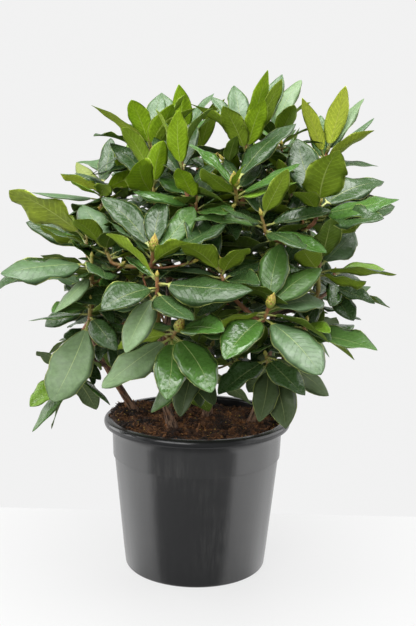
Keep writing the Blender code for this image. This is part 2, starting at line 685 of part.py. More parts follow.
def whorl_leaves(item, ahead, seed):
    """The leaves of a whorl, each as (root, tip, width, roll, bow), and whether it is a leading one."""
    rng = random.Random(seed)
    place = Vector(item["at"]) * CM
    reaches = []
    headings = []
    rolls = []
    for right, up, length in item["lead"]:
        depth = math.sqrt(max(LEAST_DEPTH, length ** 2 - right ** 2 - up ** 2))
        back = -depth if length > 0 else depth
        reaches.append(Vector((right, back, up)) * CM)
        headings.append(math.degrees(math.atan2(back, right)))
        under = length > 0 and up > UNDER_RISE * length
        rolls.append(roll_to_front(reaches[-1], -FACE_FRONT if under else FACE_FRONT))
    while len(reaches) < item["leaves"]:
        heading = widest_gap(headings) + rng.uniform(-HEADING_STRAY, HEADING_STRAY)
        rise = math.radians(item["lift"] + rng.uniform(*RISE_STRAY))
        length = item["size"] * rng.uniform(*LENGTH_RANGE) * CM
        turn = math.radians(heading)
        level = math.cos(rise)
        reaches.append(Vector((math.cos(turn) * level, math.sin(turn) * level, math.sin(rise))) * length)
        headings.append(heading)
        rolls.append(rng.uniform(-ROLL_RANGE, ROLL_RANGE))
    order = sorted(range(len(reaches)), key=lambda k: reaches[k].z)
    leaves = []
    for rank, k in enumerate(order):
        share = rank / max(1, len(order) - 1)
        out = reaches[k] - ahead * reaches[k].dot(ahead)
        height = (share - LOWEST_ROOT) * SHOOT_BELOW * CM
        root = place + ahead * height + out.normalized() * ROOT_OUT
        wide = rng.uniform(*WIDTH_RANGE)
        roll = rolls[k] + rng.uniform(-ROLL_STRAY, ROLL_STRAY)
        bow = LEAF_BOW * rng.uniform(*BOW_RANGE)
        leaves.append(((root, place + reaches[k], wide, roll, bow), k < len(item["lead"])))
    return leaves


def box_of(points):
    low = Vector([min(p[i] for p in points) for i in range(3)])
    high = Vector([max(p[i] for p in points) for i in range(3)])
    return low, high


def solid_record(points, faces, owner):
    """A piece already in place: its box, its surface and the mass that owns it."""
    low, high = box_of(points)
    return low, high, BVHTree.FromPolygons([tuple(p) for p in points], faces), owner


def meets(record, others, skip):
    low, high, tree, _ = record
    for other_low, other_high, other_tree, owner in others:
        if owner == skip:
            continue
        if any(low[i] > other_high[i] or high[i] < other_low[i] for i in range(3)):
            continue
        if tree.overlap(other_tree):
            return True
    return False


def place_leaf(leaf, owner, solids, blades, rng):
    """The leaf, turned a little where it would touch something; nothing if no turn clears it.

    The whole leaf keeps clear of the other masses and limbs, and its blade of all blades, shoots and buds.
    """
    root, tip, wide, roll, bow = leaf
    reach = tip - root
    for attempt in range(TRIES):
        spread = attempt / TRIES
        angle = math.radians(rng.uniform(-TURN_TRIED, TURN_TRIED) * spread)
        trial = Matrix.Rotation(angle, 3, Vector((0, 0, 1))) @ reach
        trial.z += rng.uniform(-TILT_TRIED, TILT_TRIED) * spread * reach.length
        trial = trial.normalized() * reach.length * (1 - SHORTER * spread)
        far = root + trial
        slim = wide * (1 - SLIMMER * spread)
        whole = solid_record(*leaf_solid(root, far, slim, roll, bow, LEAF_CLEAR), owner)
        if meets(whole, solids, owner):
            continue
        blade = solid_record(*leaf_solid(root, far, slim, roll, bow, LEAF_CLEAR, BLADE_FROM), owner)
        if meets(blade, blades, None):
            continue
        return (root, far, slim, roll, bow), whole, blade
    return None


def bud_solid(base, ahead):
    """A plump pointed bud on the end of a shoot."""
    length = BUD_LENGTH * CM
    radius = BUD_RADIUS * CM
    path = [base - ahead * BUD_SUNK]
    radii = [radius * BUD_ROOT]
    for share, wide in BUD_RINGS:
        path.append(base + ahead * (share * length))
        radii.append(radius * wide)
    return tube(path, radii, BUD_SIDES, first=ahead, last=ahead)


def keep_one_body(mesh):
    """Drops loose scraps and the walls of sealed hollows: only the outer skin is kept."""
    form = bmesh.new()
    form.from_mesh(mesh)
    bmesh.ops.triangulate(form, faces=form.faces)
    todo = set(form.faces)
    islands = []
    while todo:
        group = {todo.pop()}
        edge = list(group)
        while edge:
            face = edge.pop()
            for side in face.edges:
                for other in side.link_faces:
                    if other in todo:
                        todo.discard(other)
                        group.add(other)
                        edge.append(other)
        islands.append(group)
    islands.sort(key=len, reverse=True)
    scraps = [face for group in islands[1:] for face in group]
    bmesh.ops.delete(form, geom=scraps, context="FACES")
    form.to_mesh(mesh)
    form.free()
    return len(islands)


def fuse(name, pieces, kind):
    """Joins the pieces into one solid by one Boolean union, and applies it."""
    body = mesh_from(*pieces[0])
    thing = add_object(name, body, kind)
    group = bpy.data.collections.new(name + "_pieces")
    bpy.context.scene.collection.children.link(group)
    for index, (points, faces) in enumerate(pieces[1:]):
        part = bpy.data.objects.new(f"{name}_{index}", mesh_from(points, faces))
        part.hide_render = True
        group.objects.link(part)
    union = thing.modifiers.new("join", "BOOLEAN")
    union.operation = "UNION"
    union.operand_type = "COLLECTION"
    union.collection = group
    union.solver = "MANIFOLD"
    evaluated = thing.evaluated_get(bpy.context.evaluated_depsgraph_get())
    joined = bpy.data.meshes.new_from_object(evaluated)
    thing.modifiers.clear()
    materials = list(body.materials)
    thing.data = joined
    joined.materials.clear()
    for material in materials:
        joined.materials.append(material)
    for part in list(group.objects):
        bpy.data.objects.remove(part)
    bpy.data.collections.remove(group)
    islands = keep_one_body(joined)
    print(name, "fused:", len(pieces), "islands:", islands, "faces:", len(joined.polygons))
    return thing


def as_lists(mesh):
    points = [v.co.copy() for v in mesh.vertices]
    faces = [list(p.vertices) for p in mesh.polygons]
    return points, faces


def main():
    clear_scene()
    pot = make_pot()
    compost = make_compost()
    solids = []
    for thing in (pot, compost):
        solids.append(solid_record(*as_lists(thing.data), thing.name))
    stems = {}
    for name in STEMS:
        thing, end = make_stem(name)
        stems[name] = (surface(thing.data), end)
        solids.append(solid_record(*as_lists(thing.data), name))
    tips = {}
    for name, (stem, _, _) in BOUGHS.items():
        thing, end, ahead = make_bough(name, *stems[stem])
        tips[name] = (end, ahead)
        solids.append(solid_record(*as_lists(thing.data), name))
    pieces = {}
    shoots = {}
    blades = []
    for name, (bough, whorls) in MASSES.items():
        twigs = mass_twigs(*tips[bough], whorls)
        pieces[name] = []
        shoots[name] = []
        for path, radii, first, ahead in twigs:
            solid = tube(path, radii, 4 if first else 3, first=first, last=ahead)
            pieces[name].append(solid)
            shoots[name].append(ahead)
            solids.append(solid_record(*solid, name))
            blades.append(solids[-1])
        for item, (path, _, _, ahead) in zip(whorls, twigs):
            if item["bud"]:
                solid = bud_solid(path[-1], ahead)
                pieces[name].append(solid)
                solids.append(solid_record(*solid, name))
                blades.append(solids[-1])
    waiting = []
    for number, (name, (_, whorls)) in enumerate(MASSES.items()):
        for index, item in enumerate(whorls):
            seed = WHORL_SEEDS * number + index
            rng = random.Random(seed + PLACE_SEED)
            for leaf, leads in whorl_leaves(item, shoots[name][index], seed):
                waiting.append((not leads, name, leaf, rng))
    waiting.sort(key=lambda entry: entry[0])    # the leading leaves of all whorls take their places first
    placed = 0
    for _, name, leaf, rng in waiting:
        found = place_leaf(leaf, name, solids, blades, rng)
        if found is None:
            continue
        placed += 1
        leaf, whole, blade = found
        pieces[name].append(leaf_solid(*leaf))
        solids.append(whole)
        blades.append(blade)
    print("leaves placed:", placed, "of", len(waiting))
    for name in MASSES:
        fuse(name, pieces[name], "leaves")


main()
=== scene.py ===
import math
import random

import bmesh
import bpy
import numpy as np
from mathutils import Matrix, Vector
from mathutils.bvhtree import BVHTree


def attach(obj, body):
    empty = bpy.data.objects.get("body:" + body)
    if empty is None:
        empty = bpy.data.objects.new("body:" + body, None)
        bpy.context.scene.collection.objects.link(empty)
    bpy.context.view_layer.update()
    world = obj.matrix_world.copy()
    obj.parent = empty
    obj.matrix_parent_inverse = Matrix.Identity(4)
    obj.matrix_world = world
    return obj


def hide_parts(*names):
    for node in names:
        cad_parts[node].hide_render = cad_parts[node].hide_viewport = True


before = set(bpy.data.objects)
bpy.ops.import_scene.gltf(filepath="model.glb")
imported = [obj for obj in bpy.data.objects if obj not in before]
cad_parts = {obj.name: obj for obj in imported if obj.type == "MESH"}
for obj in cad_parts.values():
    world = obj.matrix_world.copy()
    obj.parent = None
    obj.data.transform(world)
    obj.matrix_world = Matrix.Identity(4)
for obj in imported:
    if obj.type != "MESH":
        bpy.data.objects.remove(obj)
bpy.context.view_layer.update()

cm = 0.01

# ---- camera, light and floor

viewSetup = {
    "place": (0.038, -1.659, 0.720),
    "lens": 51.94,
    "sensor": 36,
    "down": 8.29,  # degrees below level, off straight ahead, and of roll
    "turn": -0.73,
    "tilt": 1.05,
}

lightSetup = {
    "sky": 0.73,  # soft light from behind and overhead, and from in front
    "near": 0.69,
    "skyWay": (0, 1.0, 1.3),
    "skyEdge": (-0.3, 0.8),
    "walls": 1.40,  # what glossy surfaces see: pale walls at the sides and behind, a dim room in front
    "room": 0.34,
    "roomEdge": (0.41, 0.49),
    "roomTurn": 5.0,
    "lid": 0.34,  # overhead the walls fade to this share
    "lidEdge": (0.25, 0.75),
    "behind": 0.60,  # and straight behind to this share
    "behindEdge": (0.40, 0.90),
    "under": 0.50,  # and towards the ground to this share
    "underEdge": (0.48, 0.58),
    "background": 0.885,
    "aim": (0, 0, 0.5),  # where the softboxes look
    "top": {"place": (0.1, -0.45, 2.55), "size": (2.4, 1.9), "power": 143},
    "front": {"place": (-0.9, -1.9, 1.25), "size": (1.6, 1.2), "power": 34},
    "left": {"place": (-1.6, 0.30, 1.0), "size": (1.7, 1.6), "power": 26},
    "right": {"place": (1.65, 0.30, 1.0), "size": (1.7, 1.6), "power": 15},
}

floorSetup = {
    "from": (-1.5, -0.62),
    "to": (1.5, 0.245),
    "colour": (0.07, 0.0705, 0.07),
    "glow": 0.73,
    "roughness": 0.62,
}


def setCamera(setup):
    down, turn, tilt = (math.radians(setup[k]) for k in ("down", "turn", "tilt"))
    ahead = Vector((math.sin(turn) * math.cos(down), math.cos(turn) * math.cos(down), -math.sin(down)))
    level = Vector((math.cos(turn), -math.sin(turn), 0))
    up = level.cross(ahead)
    right = level * math.cos(tilt) + up * math.sin(tilt)
    top = up * math.cos(tilt) - level * math.sin(tilt)
    camera = bpy.data.objects.new("camera", bpy.data.cameras.new("camera"))
    bpy.context.scene.collection.objects.link(camera)
    camera.data.lens = setup["lens"]
    camera.data.sensor_width = setup["sensor"]
    place = Matrix((right, top, -ahead)).transposed().to_4x4()
    place.translation = setup["place"]
    camera.matrix_world = place
    bpy.context.scene.camera = camera


def addSoftbox(name, setup, aim):
    lamp = bpy.data.lights.new(name, "AREA")
    lamp.shape = "RECTANGLE"
    lamp.size, lamp.size_y = setup["size"]
    lamp.energy = setup["power"]
    box = bpy.data.objects.new(name, lamp)
    bpy.context.scene.collection.objects.link(box)
    box.location = setup["place"]
    box.rotation_mode = "QUATERNION"
    box.rotation_quaternion = (Vector(aim) - Vector(setup["place"])).to_track_quat("-Z", "Y")
    box.visible_camera = False


def setWorld(setup):
    world = bpy.data.worlds.new("studio")
    bpy.context.scene.world = world
    world.use_nodes = True
    tree = world.node_tree
    tree.nodes.clear()
    out = tree.nodes.new("ShaderNodeOutputWorld")
    path = tree.nodes.new("ShaderNodeLightPath")
    way = tree.nodes.new("ShaderNodeTexCoord").outputs["Generated"]

    def facing(direction, edges, values):
        slope = tree.nodes.new("ShaderNodeVectorMath")
        slope.operation = "DOT_PRODUCT"
        slope.inputs[1].default_value = direction
        fade = tree.nodes.new("ShaderNodeMapRange")
        fade.interpolation_type = "SMOOTHSTEP"
        tree.links.new(way, slope.inputs[0])
        tree.links.new(slope.outputs["Value"], fade.inputs["Value"])
        for name, value in zip(("From Min", "From Max", "To Min", "To Max"), edges + values):
            fade.inputs[name].default_value = value
        return fade.outputs[0]

    def shine(strength):
        node = tree.nodes.new("ShaderNodeBackground")
        node.inputs["Color"].default_value = (1, 1, 1, 1)
        if isinstance(strength, float):
            node.inputs["Strength"].default_value = strength
        else:
            tree.links.new(strength, node.inputs["Strength"])
        return node.outputs[0]

    def either(choice, first, second):
        node = tree.nodes.new("ShaderNodeMixShader")
        for socket, value in zip(node.inputs, (path.outputs[choice], first, second)):
            tree.links.new(value, socket)
        return node.outputs[0]

    turn = math.radians(setup["roomTurn"])
    soft = shine(facing(setup["skyWay"], setup["skyEdge"], (setup["near"], setup["sky"])))
    around = facing((-math.sin(turn), -math.cos(turn), 0), setup["roomEdge"], (setup["walls"], setup["room"]))
    for direction, name in (((0, 0, 1), "lid"), ((0, 1, 0), "behind"), ((0, 0, -1), "under")):
        dimmed = tree.nodes.new("ShaderNodeMath")
        dimmed.operation = "MULTIPLY"
        tree.links.new(around, dimmed.inputs[0])
        tree.links.new(facing(direction, setup[name + "Edge"], (1.0, setup[name])), dimmed.inputs[1])
        around = dimmed.outputs[0]
    glossy = shine(around)
    lit = either("Is Glossy Ray", soft, glossy)
    tree.links.new(either("Is Camera Ray", lit, shine(setup["background"])), out.inputs["Surface"])


def addFloor(setup):
    (x0, y0), (x1, y1) = setup["from"], setup["to"]
    mesh = bpy.data.meshes.new("floor")
    mesh.from_pydata([(x0, y0, 0), (x1, y0, 0), (x1, y1, 0), (x0, y1, 0)], [], [(0, 1, 2, 3)])
    floor = bpy.data.objects.new("floor", mesh)
    bpy.context.scene.collection.objects.link(floor)
    material = bpy.data.materials.new("paleFloor")
    material.use_nodes = True
    shader = material.node_tree.nodes["Principled BSDF"]
    shader.inputs["Base Color"].default_value = setup["colour"] + (1,)
    shader.inputs["Roughness"].default_value = setup["roughness"]
    shader.inputs["Emission Color"].default_value = (1, 1, 1, 1)
    shader.inputs["Emission Strength"].default_value = setup["glow"]
    mesh.materials.append(material)
    floor.visible_glossy = False


setCamera(viewSetup)
setWorld(lightSetup)
for name in ("top", "front", "left", "right"):
    addSoftbox(name + "Softbox", lightSetup[name], lightSetup["aim"])
addFloor(floorSetup)
bpy.context.scene.view_settings.view_transform = "Standard"
print("camera, light and floor are set")

# ---- small helpers for node trees


def put(tree, value, socket):
    if isinstance(value, bpy.types.NodeSocket):
        tree.links.new(value, socket)
    else:
        socket.default_value = value


def addNode(tree, kind, values=(), **settings):
    node = tree.nodes.new(kind)
    for name, value in settings.items():
        setattr(node, name, value)
    for name, value in dict(values).items():
        put(tree, value, node.inputs[name])
    return node


def calc(tree, operation, *values):
    node = addNode(tree, "ShaderNodeMath", operation=operation)
    for value, socket in zip(values, node.inputs):
        put(tree, value, socket)
    return node.outputs[0]


def times(tree, first, second):
    return calc(tree, "MULTIPLY", first, second)


def plus(tree, first, second):
    return calc(tree, "ADD", first, second)


def minus(tree, first, second):
    return calc(tree, "SUBTRACT", first, second)


def scaled(tree, vector, factor):
    node = addNode(tree, "ShaderNodeVectorMath", operation="SCALE")
    put(tree, vector, node.inputs[0])
    put(tree, factor, node.inputs["Scale"])
    return node.outputs[0]


def total(tree, *vectors):
    result = vectors[0]
    for vector in vectors[1:]:
        node = addNode(tree, "ShaderNodeVectorMath", operation="ADD")
        put(tree, result, node.inputs[0])
        put(tree, vector, node.inputs[1])
        result = node.outputs[0]
    return result


def eased(tree, value, low, high, start=0.0, end=1.0):
    node = addNode(tree, "ShaderNodeMapRange", {"From Min": low, "From Max": high, "To Min": start,
                                                "To Max": end}, interpolation_type="SMOOTHSTEP")
    put(tree, value, node.inputs["Value"])
    return node.outputs[0]


def mixed(tree, factor, first, second):
    node = addNode(tree, "ShaderNodeMix", data_type="RGBA")
    put(tree, factor, node.inputs[0])
    put(tree, first, node.inputs[6])
    put(tree, second, node.inputs[7])
    return node.outputs[2]


def newMaterial(name):
    material = bpy.data.materials.new(name)
    material.use_nodes = True
    return material, material.node_tree, material.node_tree.nodes["Principled BSDF"]


# a noise setting is its scale, detail and roughness
def noise(tree, vector, scale, detail, roughness):
    return addNode(tree, "ShaderNodeTexNoise", {"Vector": vector, "Scale": scale, "Detail": detail,
                                                "Roughness": roughness}).outputs["Fac"]


def stretched(tree, vector, scale, moved=(0, 0, 0)):
    node = addNode(tree, "ShaderNodeMapping", {"Vector": vector, "Location": moved, "Scale": scale})
    return node.outputs[0]


def paint(tree, shader, colour, roughness):
    put(tree, colour, shader.inputs["Base Color"])
    put(tree, roughness, shader.inputs["Roughness"])


def bump(tree, shader, height, strength, distance):
    node = addNode(tree, "ShaderNodeBump", {"Height": height, "Strength": strength, "Distance": distance})
    tree.links.new(node.outputs[0], shader.inputs["Normal"])


def newTree(name, inputs):
    tree = bpy.data.node_groups.new(name, "GeometryNodeTree")
    tree.interface.new_socket("Geometry", in_out="INPUT", socket_type="NodeSocketGeometry")
    tree.interface.new_socket("Geometry", in_out="OUTPUT", socket_type="NodeSocketGeometry")
    for label, kind in inputs.items():
        tree.interface.new_socket(label, in_out="INPUT", socket_type="NodeSocket" + kind)
    start = tree.nodes.new("NodeGroupInput")
    end = tree.nodes.new("NodeGroupOutput")
    return tree, start.outputs, end.inputs[0]


def runTree(thing, tree, values):
    ids = {item.name: item.identifier for item in tree.interface.items_tree if item.in_out == "INPUT"}
    modifier = thing.modifiers.new("grow", "NODES")
    modifier.node_group = tree
    for name, value in values.items():
        modifier[ids[name]] = value
    made = bpy.data.meshes.new_from_object(thing.evaluated_get(bpy.context.evaluated_depsgraph_get()))
    thing.modifiers.clear()
    thing.data = made


def stored(tree, shape, name, value, kind="FLOAT"):
    node = addNode(tree, "GeometryNodeStoreNamedAttribute", {"Geometry": shape, "Name": name}, data_type=kind,
                   domain="POINT")
    put(tree, value, node.inputs["Value"])
    return node.outputs[0]


def finishTree(tree, shape, material, out, smooth=True):
    if smooth:
        shape = addNode(tree, "GeometryNodeSetShadeSmooth", {"Geometry": shape}).outputs[0]
    real = addNode(tree, "GeometryNodeRealizeInstances", {"Geometry": shape}).outputs[0]
    dressed = addNode(tree, "GeometryNodeSetMaterial", {"Geometry": real, "Material": material})
    tree.links.new(dressed.outputs[0], out)


def addObject(name, mesh):
    thing = bpy.data.objects.new(name, mesh)
    bpy.context.scene.collection.objects.link(thing)
    return thing


def named(tree, name, kind="FLOAT"):
    node = addNode(tree, "GeometryNodeInputNamedAttribute", {"Name": name}, data_type=kind)
    return node.outputs[0]


def setAttribute(mesh, name, kind, values):
    layer = mesh.attributes.new(name, kind, "POINT")
    flat = np.array(values, dtype=np.float32).ravel()
    layer.data.foreach_set("vector" if kind == "FLOAT_VECTOR" else "value", flat)


def triangles(thing):
    return sum(len(face.vertices) - 2 for face in thing.data.polygons)


def finishPiece(thing, nodes):
    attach(thing, "root")
    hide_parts(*nodes)
    print(thing.name, "has", triangles(thing), "triangles")


def faceOutwards(mesh):
    form = bmesh.new()
    form.from_mesh(mesh)
    bmesh.ops.recalc_face_normals(form, faces=form.faces)
    if form.calc_volume(signed=True) < 0:
        bmesh.ops.reverse_faces(form, faces=form.faces)
    form.to_mesh(mesh)
    form.free()


# ---- pot: a thin black shell, turned from its outline

potShape = {
    "height": 0.282,
    "baseRadius": 0.133,
    "lipRadius": 0.1745,
    "lipHeight": 0.014,
    "lipRound": 0.0046,
    "lipSteps": 14,
    "collarRadius": 0.160,
    "collarFoot": 0.212,
    "slope": 0.04,  # how the collar narrows downwards
    "step": 0.0025,
    "stepRound": 0.0012,
    "footRound": 0.0042,
    "wall": 0.003,
    "sides": 144,
    "wallRings": [0.03, 0.07, 0.11, 0.15, 0.185],
    "collarBelow": [0.006, 0.0018],  # rings under the collar's foot and above it
    "collarRings": [0.004, 0.02, 0.04],
    "lipStart": 0.0022,
    "lipUnder": [(0.0007, 0.0006), (0.0024, 0)],  # outwards from the collar and down from the lip's foot
    "merge": 0.00002,
    "sharp": 40,
    "middle": 0.2,  # radius of the ring that the outline is swept round
}

potLook = {
    "colour": (0.0115, 0.0118, 0.0125, 1),
    "dust": (0.050, 0.050, 0.048, 1),
    "dusty": 0.5,
    "dustEdge": (0.48, 0.75),
    "streakEdge": (0.35, 0.75),
    "roughness": 0.12,
    "roughStray": 0.16,
    "specular": 1.0,
    "lipSpecular": 0.36,
    "lipEdge": (0.2655, 0.2690),  # the heights between which the lip's finish sets in
    "stretch": (1.0, 1.0, 0.05),
    "streaks": (150, 3, 0.6),
    "blotches": (9, 4, 0.6),
    "grain": (900, 2, 0.6),
    "relief": (0.6, 0.25),  # of the streaks and of the grain
    "bump": (0.35, 0.0006),
}


def potRadius(height):
    pot = potShape
    if height >= pot["collarFoot"]:
        return pot["collarRadius"] - (pot["height"] - height) * pot["slope"]
    top = pot["collarRadius"] - (pot["height"] - pot["collarFoot"]) * pot["slope"] - pot["step"]
    return pot["baseRadius"] + (top - pot["baseRadius"]) * height / pot["collarFoot"]


def arc(centre, radius, start, end, steps):
    points = []
    for k in range(steps + 1):
        angle = math.radians(start + (end - start) * k / steps)
        points.append((centre[0] + radius * math.cos(angle), centre[1] + radius * math.sin(angle)))
    return points


# half the shell's section, from the middle underneath to the middle inside; short steps keep its edges crisp
def potOutline():
    pot = potShape
    lipFoot = pot["height"] - pot["lipHeight"]
    collar, wall, base = pot["collarFoot"], pot["wall"], pot["baseRadius"]
    foot, step, lip = pot["footRound"], pot["stepRound"], pot["lipRound"]
    points = [(0, 0.0), (base * 0.55, 0.0), (base - foot * 1.2, 0.0)]
    points += arc((base - foot, foot), foot, -90, 0, 5)
    points += [(potRadius(h), h) for h in pot["wallRings"] + [collar - down for down in pot["collarBelow"]]]
    points += arc((potRadius(collar) - step, collar + 0.0002), step, -70, 10, 4)  # the step under the collar
    points += [(potRadius(collar + h), collar + h) for h in pot["collarRings"]]
    start = lipFoot - pot["lipStart"]
    points.append((potRadius(start), start))
    points += [(potRadius(lipFoot) + out, lipFoot - down) for out, down in pot["lipUnder"]]
    half = pot["lipHeight"] / 2
    for k in range(pot["lipSteps"] + 1):  # the rolled lip is half an ellipse
        angle = math.pi * (k / pot["lipSteps"] - 0.5)
        out, up = lip * math.cos(angle), half * math.sin(angle)
        points.append((pot["lipRadius"] - lip + out, lipFoot + half + up))
    inner = pot["collarRadius"] - wall
    points += arc((inner + lip, pot["height"] - lip), lip, 90, 180, 8)
    points += [(potRadius(collar) - wall, collar), (potRadius(collar - 0.001) - wall, collar - 0.004)]
    points += [(base - wall, wall), (base * 0.5, wall), (0, wall)]
    return points


def turningTree():
    tree, given, out = newTree("turnOutline", {"Sides": "Int", "Radius": "Float", "Merge": "Float",
                                               "Material": "Material"})
    outline = addNode(tree, "GeometryNodeMeshToCurve", {"Mesh": given["Geometry"]})
    ring = addNode(tree, "GeometryNodeCurvePrimitiveCircle", {"Resolution": given["Sides"],
                                                              "Radius": given["Radius"]})
    swept = addNode(tree, "GeometryNodeCurveToMesh", {"Curve": ring.outputs["Curve"],
                                                      "Profile Curve": outline.outputs[0]})
    closed = addNode(tree, "GeometryNodeMergeByDistance", {"Geometry": swept.outputs[0],
                                                          "Distance": given["Merge"]})
    finishTree(tree, closed.outputs[0], given["Material"], out)
    return tree


def blackPlastic(look):
    material, tree, shader = newMaterial("blackPlastic")
    place = addNode(tree, "ShaderNodeTexCoord").outputs["Object"]
    streaks = noise(tree, stretched(tree, place, look["stretch"]), *look["streaks"])
    blotches = noise(tree, place, *look["blotches"])
    grain = noise(tree, place, *look["grain"])
    dusty = times(tree, eased(tree, blotches, *look["dustEdge"]), eased(tree, streaks, *look["streakEdge"]))
    colour = mixed(tree, times(tree, dusty, look["dusty"]), look["colour"], look["dust"])
    paint(tree, shader, colour, plus(tree, look["roughness"], times(tree, streaks, look["roughStray"])))
    level = addNode(tree, "ShaderNodeSeparateXYZ", {"Vector": place}).outputs["Z"]
    shiny = eased(tree, level, *look["lipEdge"], look["specular"], look["lipSpecular"])
    tree.links.new(shiny, shader.inputs["Specular IOR Level"])
    height = plus(tree, times(tree, streaks, look["relief"][0]), times(tree, grain, look["relief"][1]))
    bump(tree, shader, height, *look["bump"])
    return material


def makePot():
    outline = potOutline()
    middle = potShape["middle"]
    edges = [(k, k + 1) for k in range(len(outline) - 1)]
    mesh = bpy.data.meshes.new("potOutline")
    mesh.from_pydata([(r - middle, -h, 0) for r, h in outline], edges, [])
    pot = addObject("nurseryPot", mesh)
    runTree(pot, turningTree(), {"Sides": potShape["sides"], "Radius": middle, "Merge": potShape["merge"],
                                 "Material": blackPlastic(potLook)})
    faceOutwards(pot.data)
    pot.data.set_sharp_from_angle(angle=math.radians(potShape["sharp"]))
    finishPiece(pot, ["nursery_pot"])


makePot()

# ---- the plant's plan: stems, boughs and whorls, in centimetres

stemPlan = {  # radius at foot and tip, then the way up
    "left_stem": (0.78, 0.52, [(-12.2, 3, 0), (-14.2, 2, 31.8), (-16.4, 0, 36), (-18.2, -2, 40)]),
    "front_stem": (0.86, 0.56, [(-4.5, -5, 0), (-6.0, -5.2, 33), (-6.6, -6, 39), (-5.4, -7, 47),
                                (-5.2, -6, 55)]),
    "middle_stem": (0.82, 0.54, [(1.8, 5, 0), (2.6, 4.4, 33), (2.4, 4, 39), (1.6, 3, 47), (2.6, 2, 56)]),
    "right_stem": (0.64, 0.48, [(10.2, 1, 0), (12.2, 0.4, 34), (13.2, -1, 41), (13.6, -2, 49),
                                (14.4, -2, 56)]),
}

boughPlan = {  # the stem that bears it, how far up, and its tip
    "left_low_bough": ("left_stem", 0.80, (-20.0, -8.0, 41.5)),
    "left_bough": ("left_stem", 1.0, (-18.8, -8.0, 50.0)),
    "left_high_bough": ("left_stem", 0.93, (-18.0, 2.5, 57.0)),
    "back_left_bough": ("left_stem", 0.70, (-18.5, 10.0, 49.0)),
    "front_low_bough": ("front_stem", 0.38, (-1.6, -11.5, 38.5)),
    "front_left_bough": ("front_stem", 0.55, (-6.2, -17.0, 47.0)),
    "front_left_high_bough": ("front_stem", 0.84, (-9.0, -14.5, 57.0)),
    "top_left_bough": ("front_stem", 1.0, (-7.5, -3.0, 66.0)),
    "centre_bough": ("front_stem", 0.93, (-1.2, -9.0, 62.0)),
    "front_right_bough": ("middle_stem", 0.62, (7.0, -14.5, 48.0)),
    "top_middle_bough": ("middle_stem", 0.93, (7.0, -6.0, 66.0)),
    "back_top_bough": ("middle_stem", 1.0, (-1.0, 9.0, 66.0)),
    "back_bough": ("middle_stem", 0.66, (2.0, 15.5, 48.5)),
    "back_low_bough": ("middle_stem", 0.40, (1.0, 14.0, 38.5)),
    "right_low_bough": ("right_stem", 0.42, (15.0, -11.5, 40.5)),
    "right_bough": ("right_stem", 0.72, (19.5, -8.0, 51.0)),
    "right_high_bough": ("right_stem", 0.92, (15.5, -10.5, 60.5)),
    "top_right_bough": ("right_stem", 1.0, (16.5, 1.0, 67.0)),
    "back_right_bough": ("right_stem", 0.84, (19.0, 9.0, 57.0)),
    "back_right_low_bough": ("right_stem", 0.52, (19.5, 9.5, 41.5)),
}

compostForm = {
    "level": 0.266,
    "heap": 0.014,
    "late": 1.3,  # how late the heap rises
    "lumps": 0.0022,
}

growth = {
    "gap": 0.0003,
    "mound": (0.024, 0.001),  # the compost's level spot under a stem: reach and height
    "moundSpots": 12,
    "boughTaper": (0.42, 0.30),
    "boughGuide": (0.55, 0.55, 0.38),
    "boughFollow": 0.4,  # share of its run that a bough at a stem's end, or a main shoot, goes straight on
    "stemEnd": 0.97,
    "shootBelow": 2.6,  # cm of leafy shoot below and above a whorl's middle
    "shootAbove": 0.9,
    "shootThick": (0.42, 0.38),  # the main shoot's radius and the others', in cm
    "shootTaper": (1, 0.95, 0.92, 0.85),
    "shootLean": 0.5,
    "shootUpward": (0.8, 0.45),  # its turn upwards where its way is steep, and where it isn't
    "shootSteep": 0.35,
    "shootSag": 0.12,
    "forks": (0.55, 0.45, 0.35, 0.25, 0.15),  # where on the main shoot another may leave it
    "forkRise": 0.03,
    "forkSlope": 0.35,
    "forkApart": 0.03,
    "budLength": 2.9,
    "budRadius": 0.62,
    "budRoom": [(0.22, 0.95), (0.55, 0.85), (1.0, 0.12)],  # shares of its length and radius
    "budRoot": (0.006, 0.45),
    "budSides": 5,
    "leafWidth": 0.39,
    "leafThick": 0.017,
    "leafBow": 0.045,
    "stalkWidth": 0.0042,
    "rings": [(0.0, 0.0), (0.17, 0.0), (0.50, 1.0), (0.80, 0.74)],
    "rootSlim": 0.5,
    "rootOut": 0.0006,
    "lowestRoot": 0.85,
    "faceFront": 0.6,
    "underRise": 0.25,  # a leading leaf that rises by more of its length shows its underside
    "leastDepth": 0.5,
    "firstHeading": 250.0,
    "headingStray": 12,
    "riseStray": (-48, 26),
    "length": (0.78, 1.06),
    "wide": (0.86, 1.14),
    "bow": (0.2, 1.9),
    "roll": 0.7,
    "rollStray": 0.15,
    "clear": 0.0006,
    "bladeFrom": 0.1,
    "tries": 14,
    "turnTried": 34,  # a leaf that meets something is turned, tilted and made smaller by up to this much
    "tiltTried": 0.5,
    "shorter": 0.22,
    "slimmer": 0.25,
    "whorlSeeds": 100,
    "placeSeed": 7,
}


# a whorl's place, the rise of its leaves, its leading leaves and how many in all; a leading leaf is its reach
# to the right and up, its length, its tone and a share of the usual width, and a minus length leans it back
def whorl(x, y, z, lift, lead=(), leaves=8, size=12.8, bud=False):
    return dict(at=(x, y, z), lift=lift, lead=lead, leaves=leaves, size=size, bud=bud)


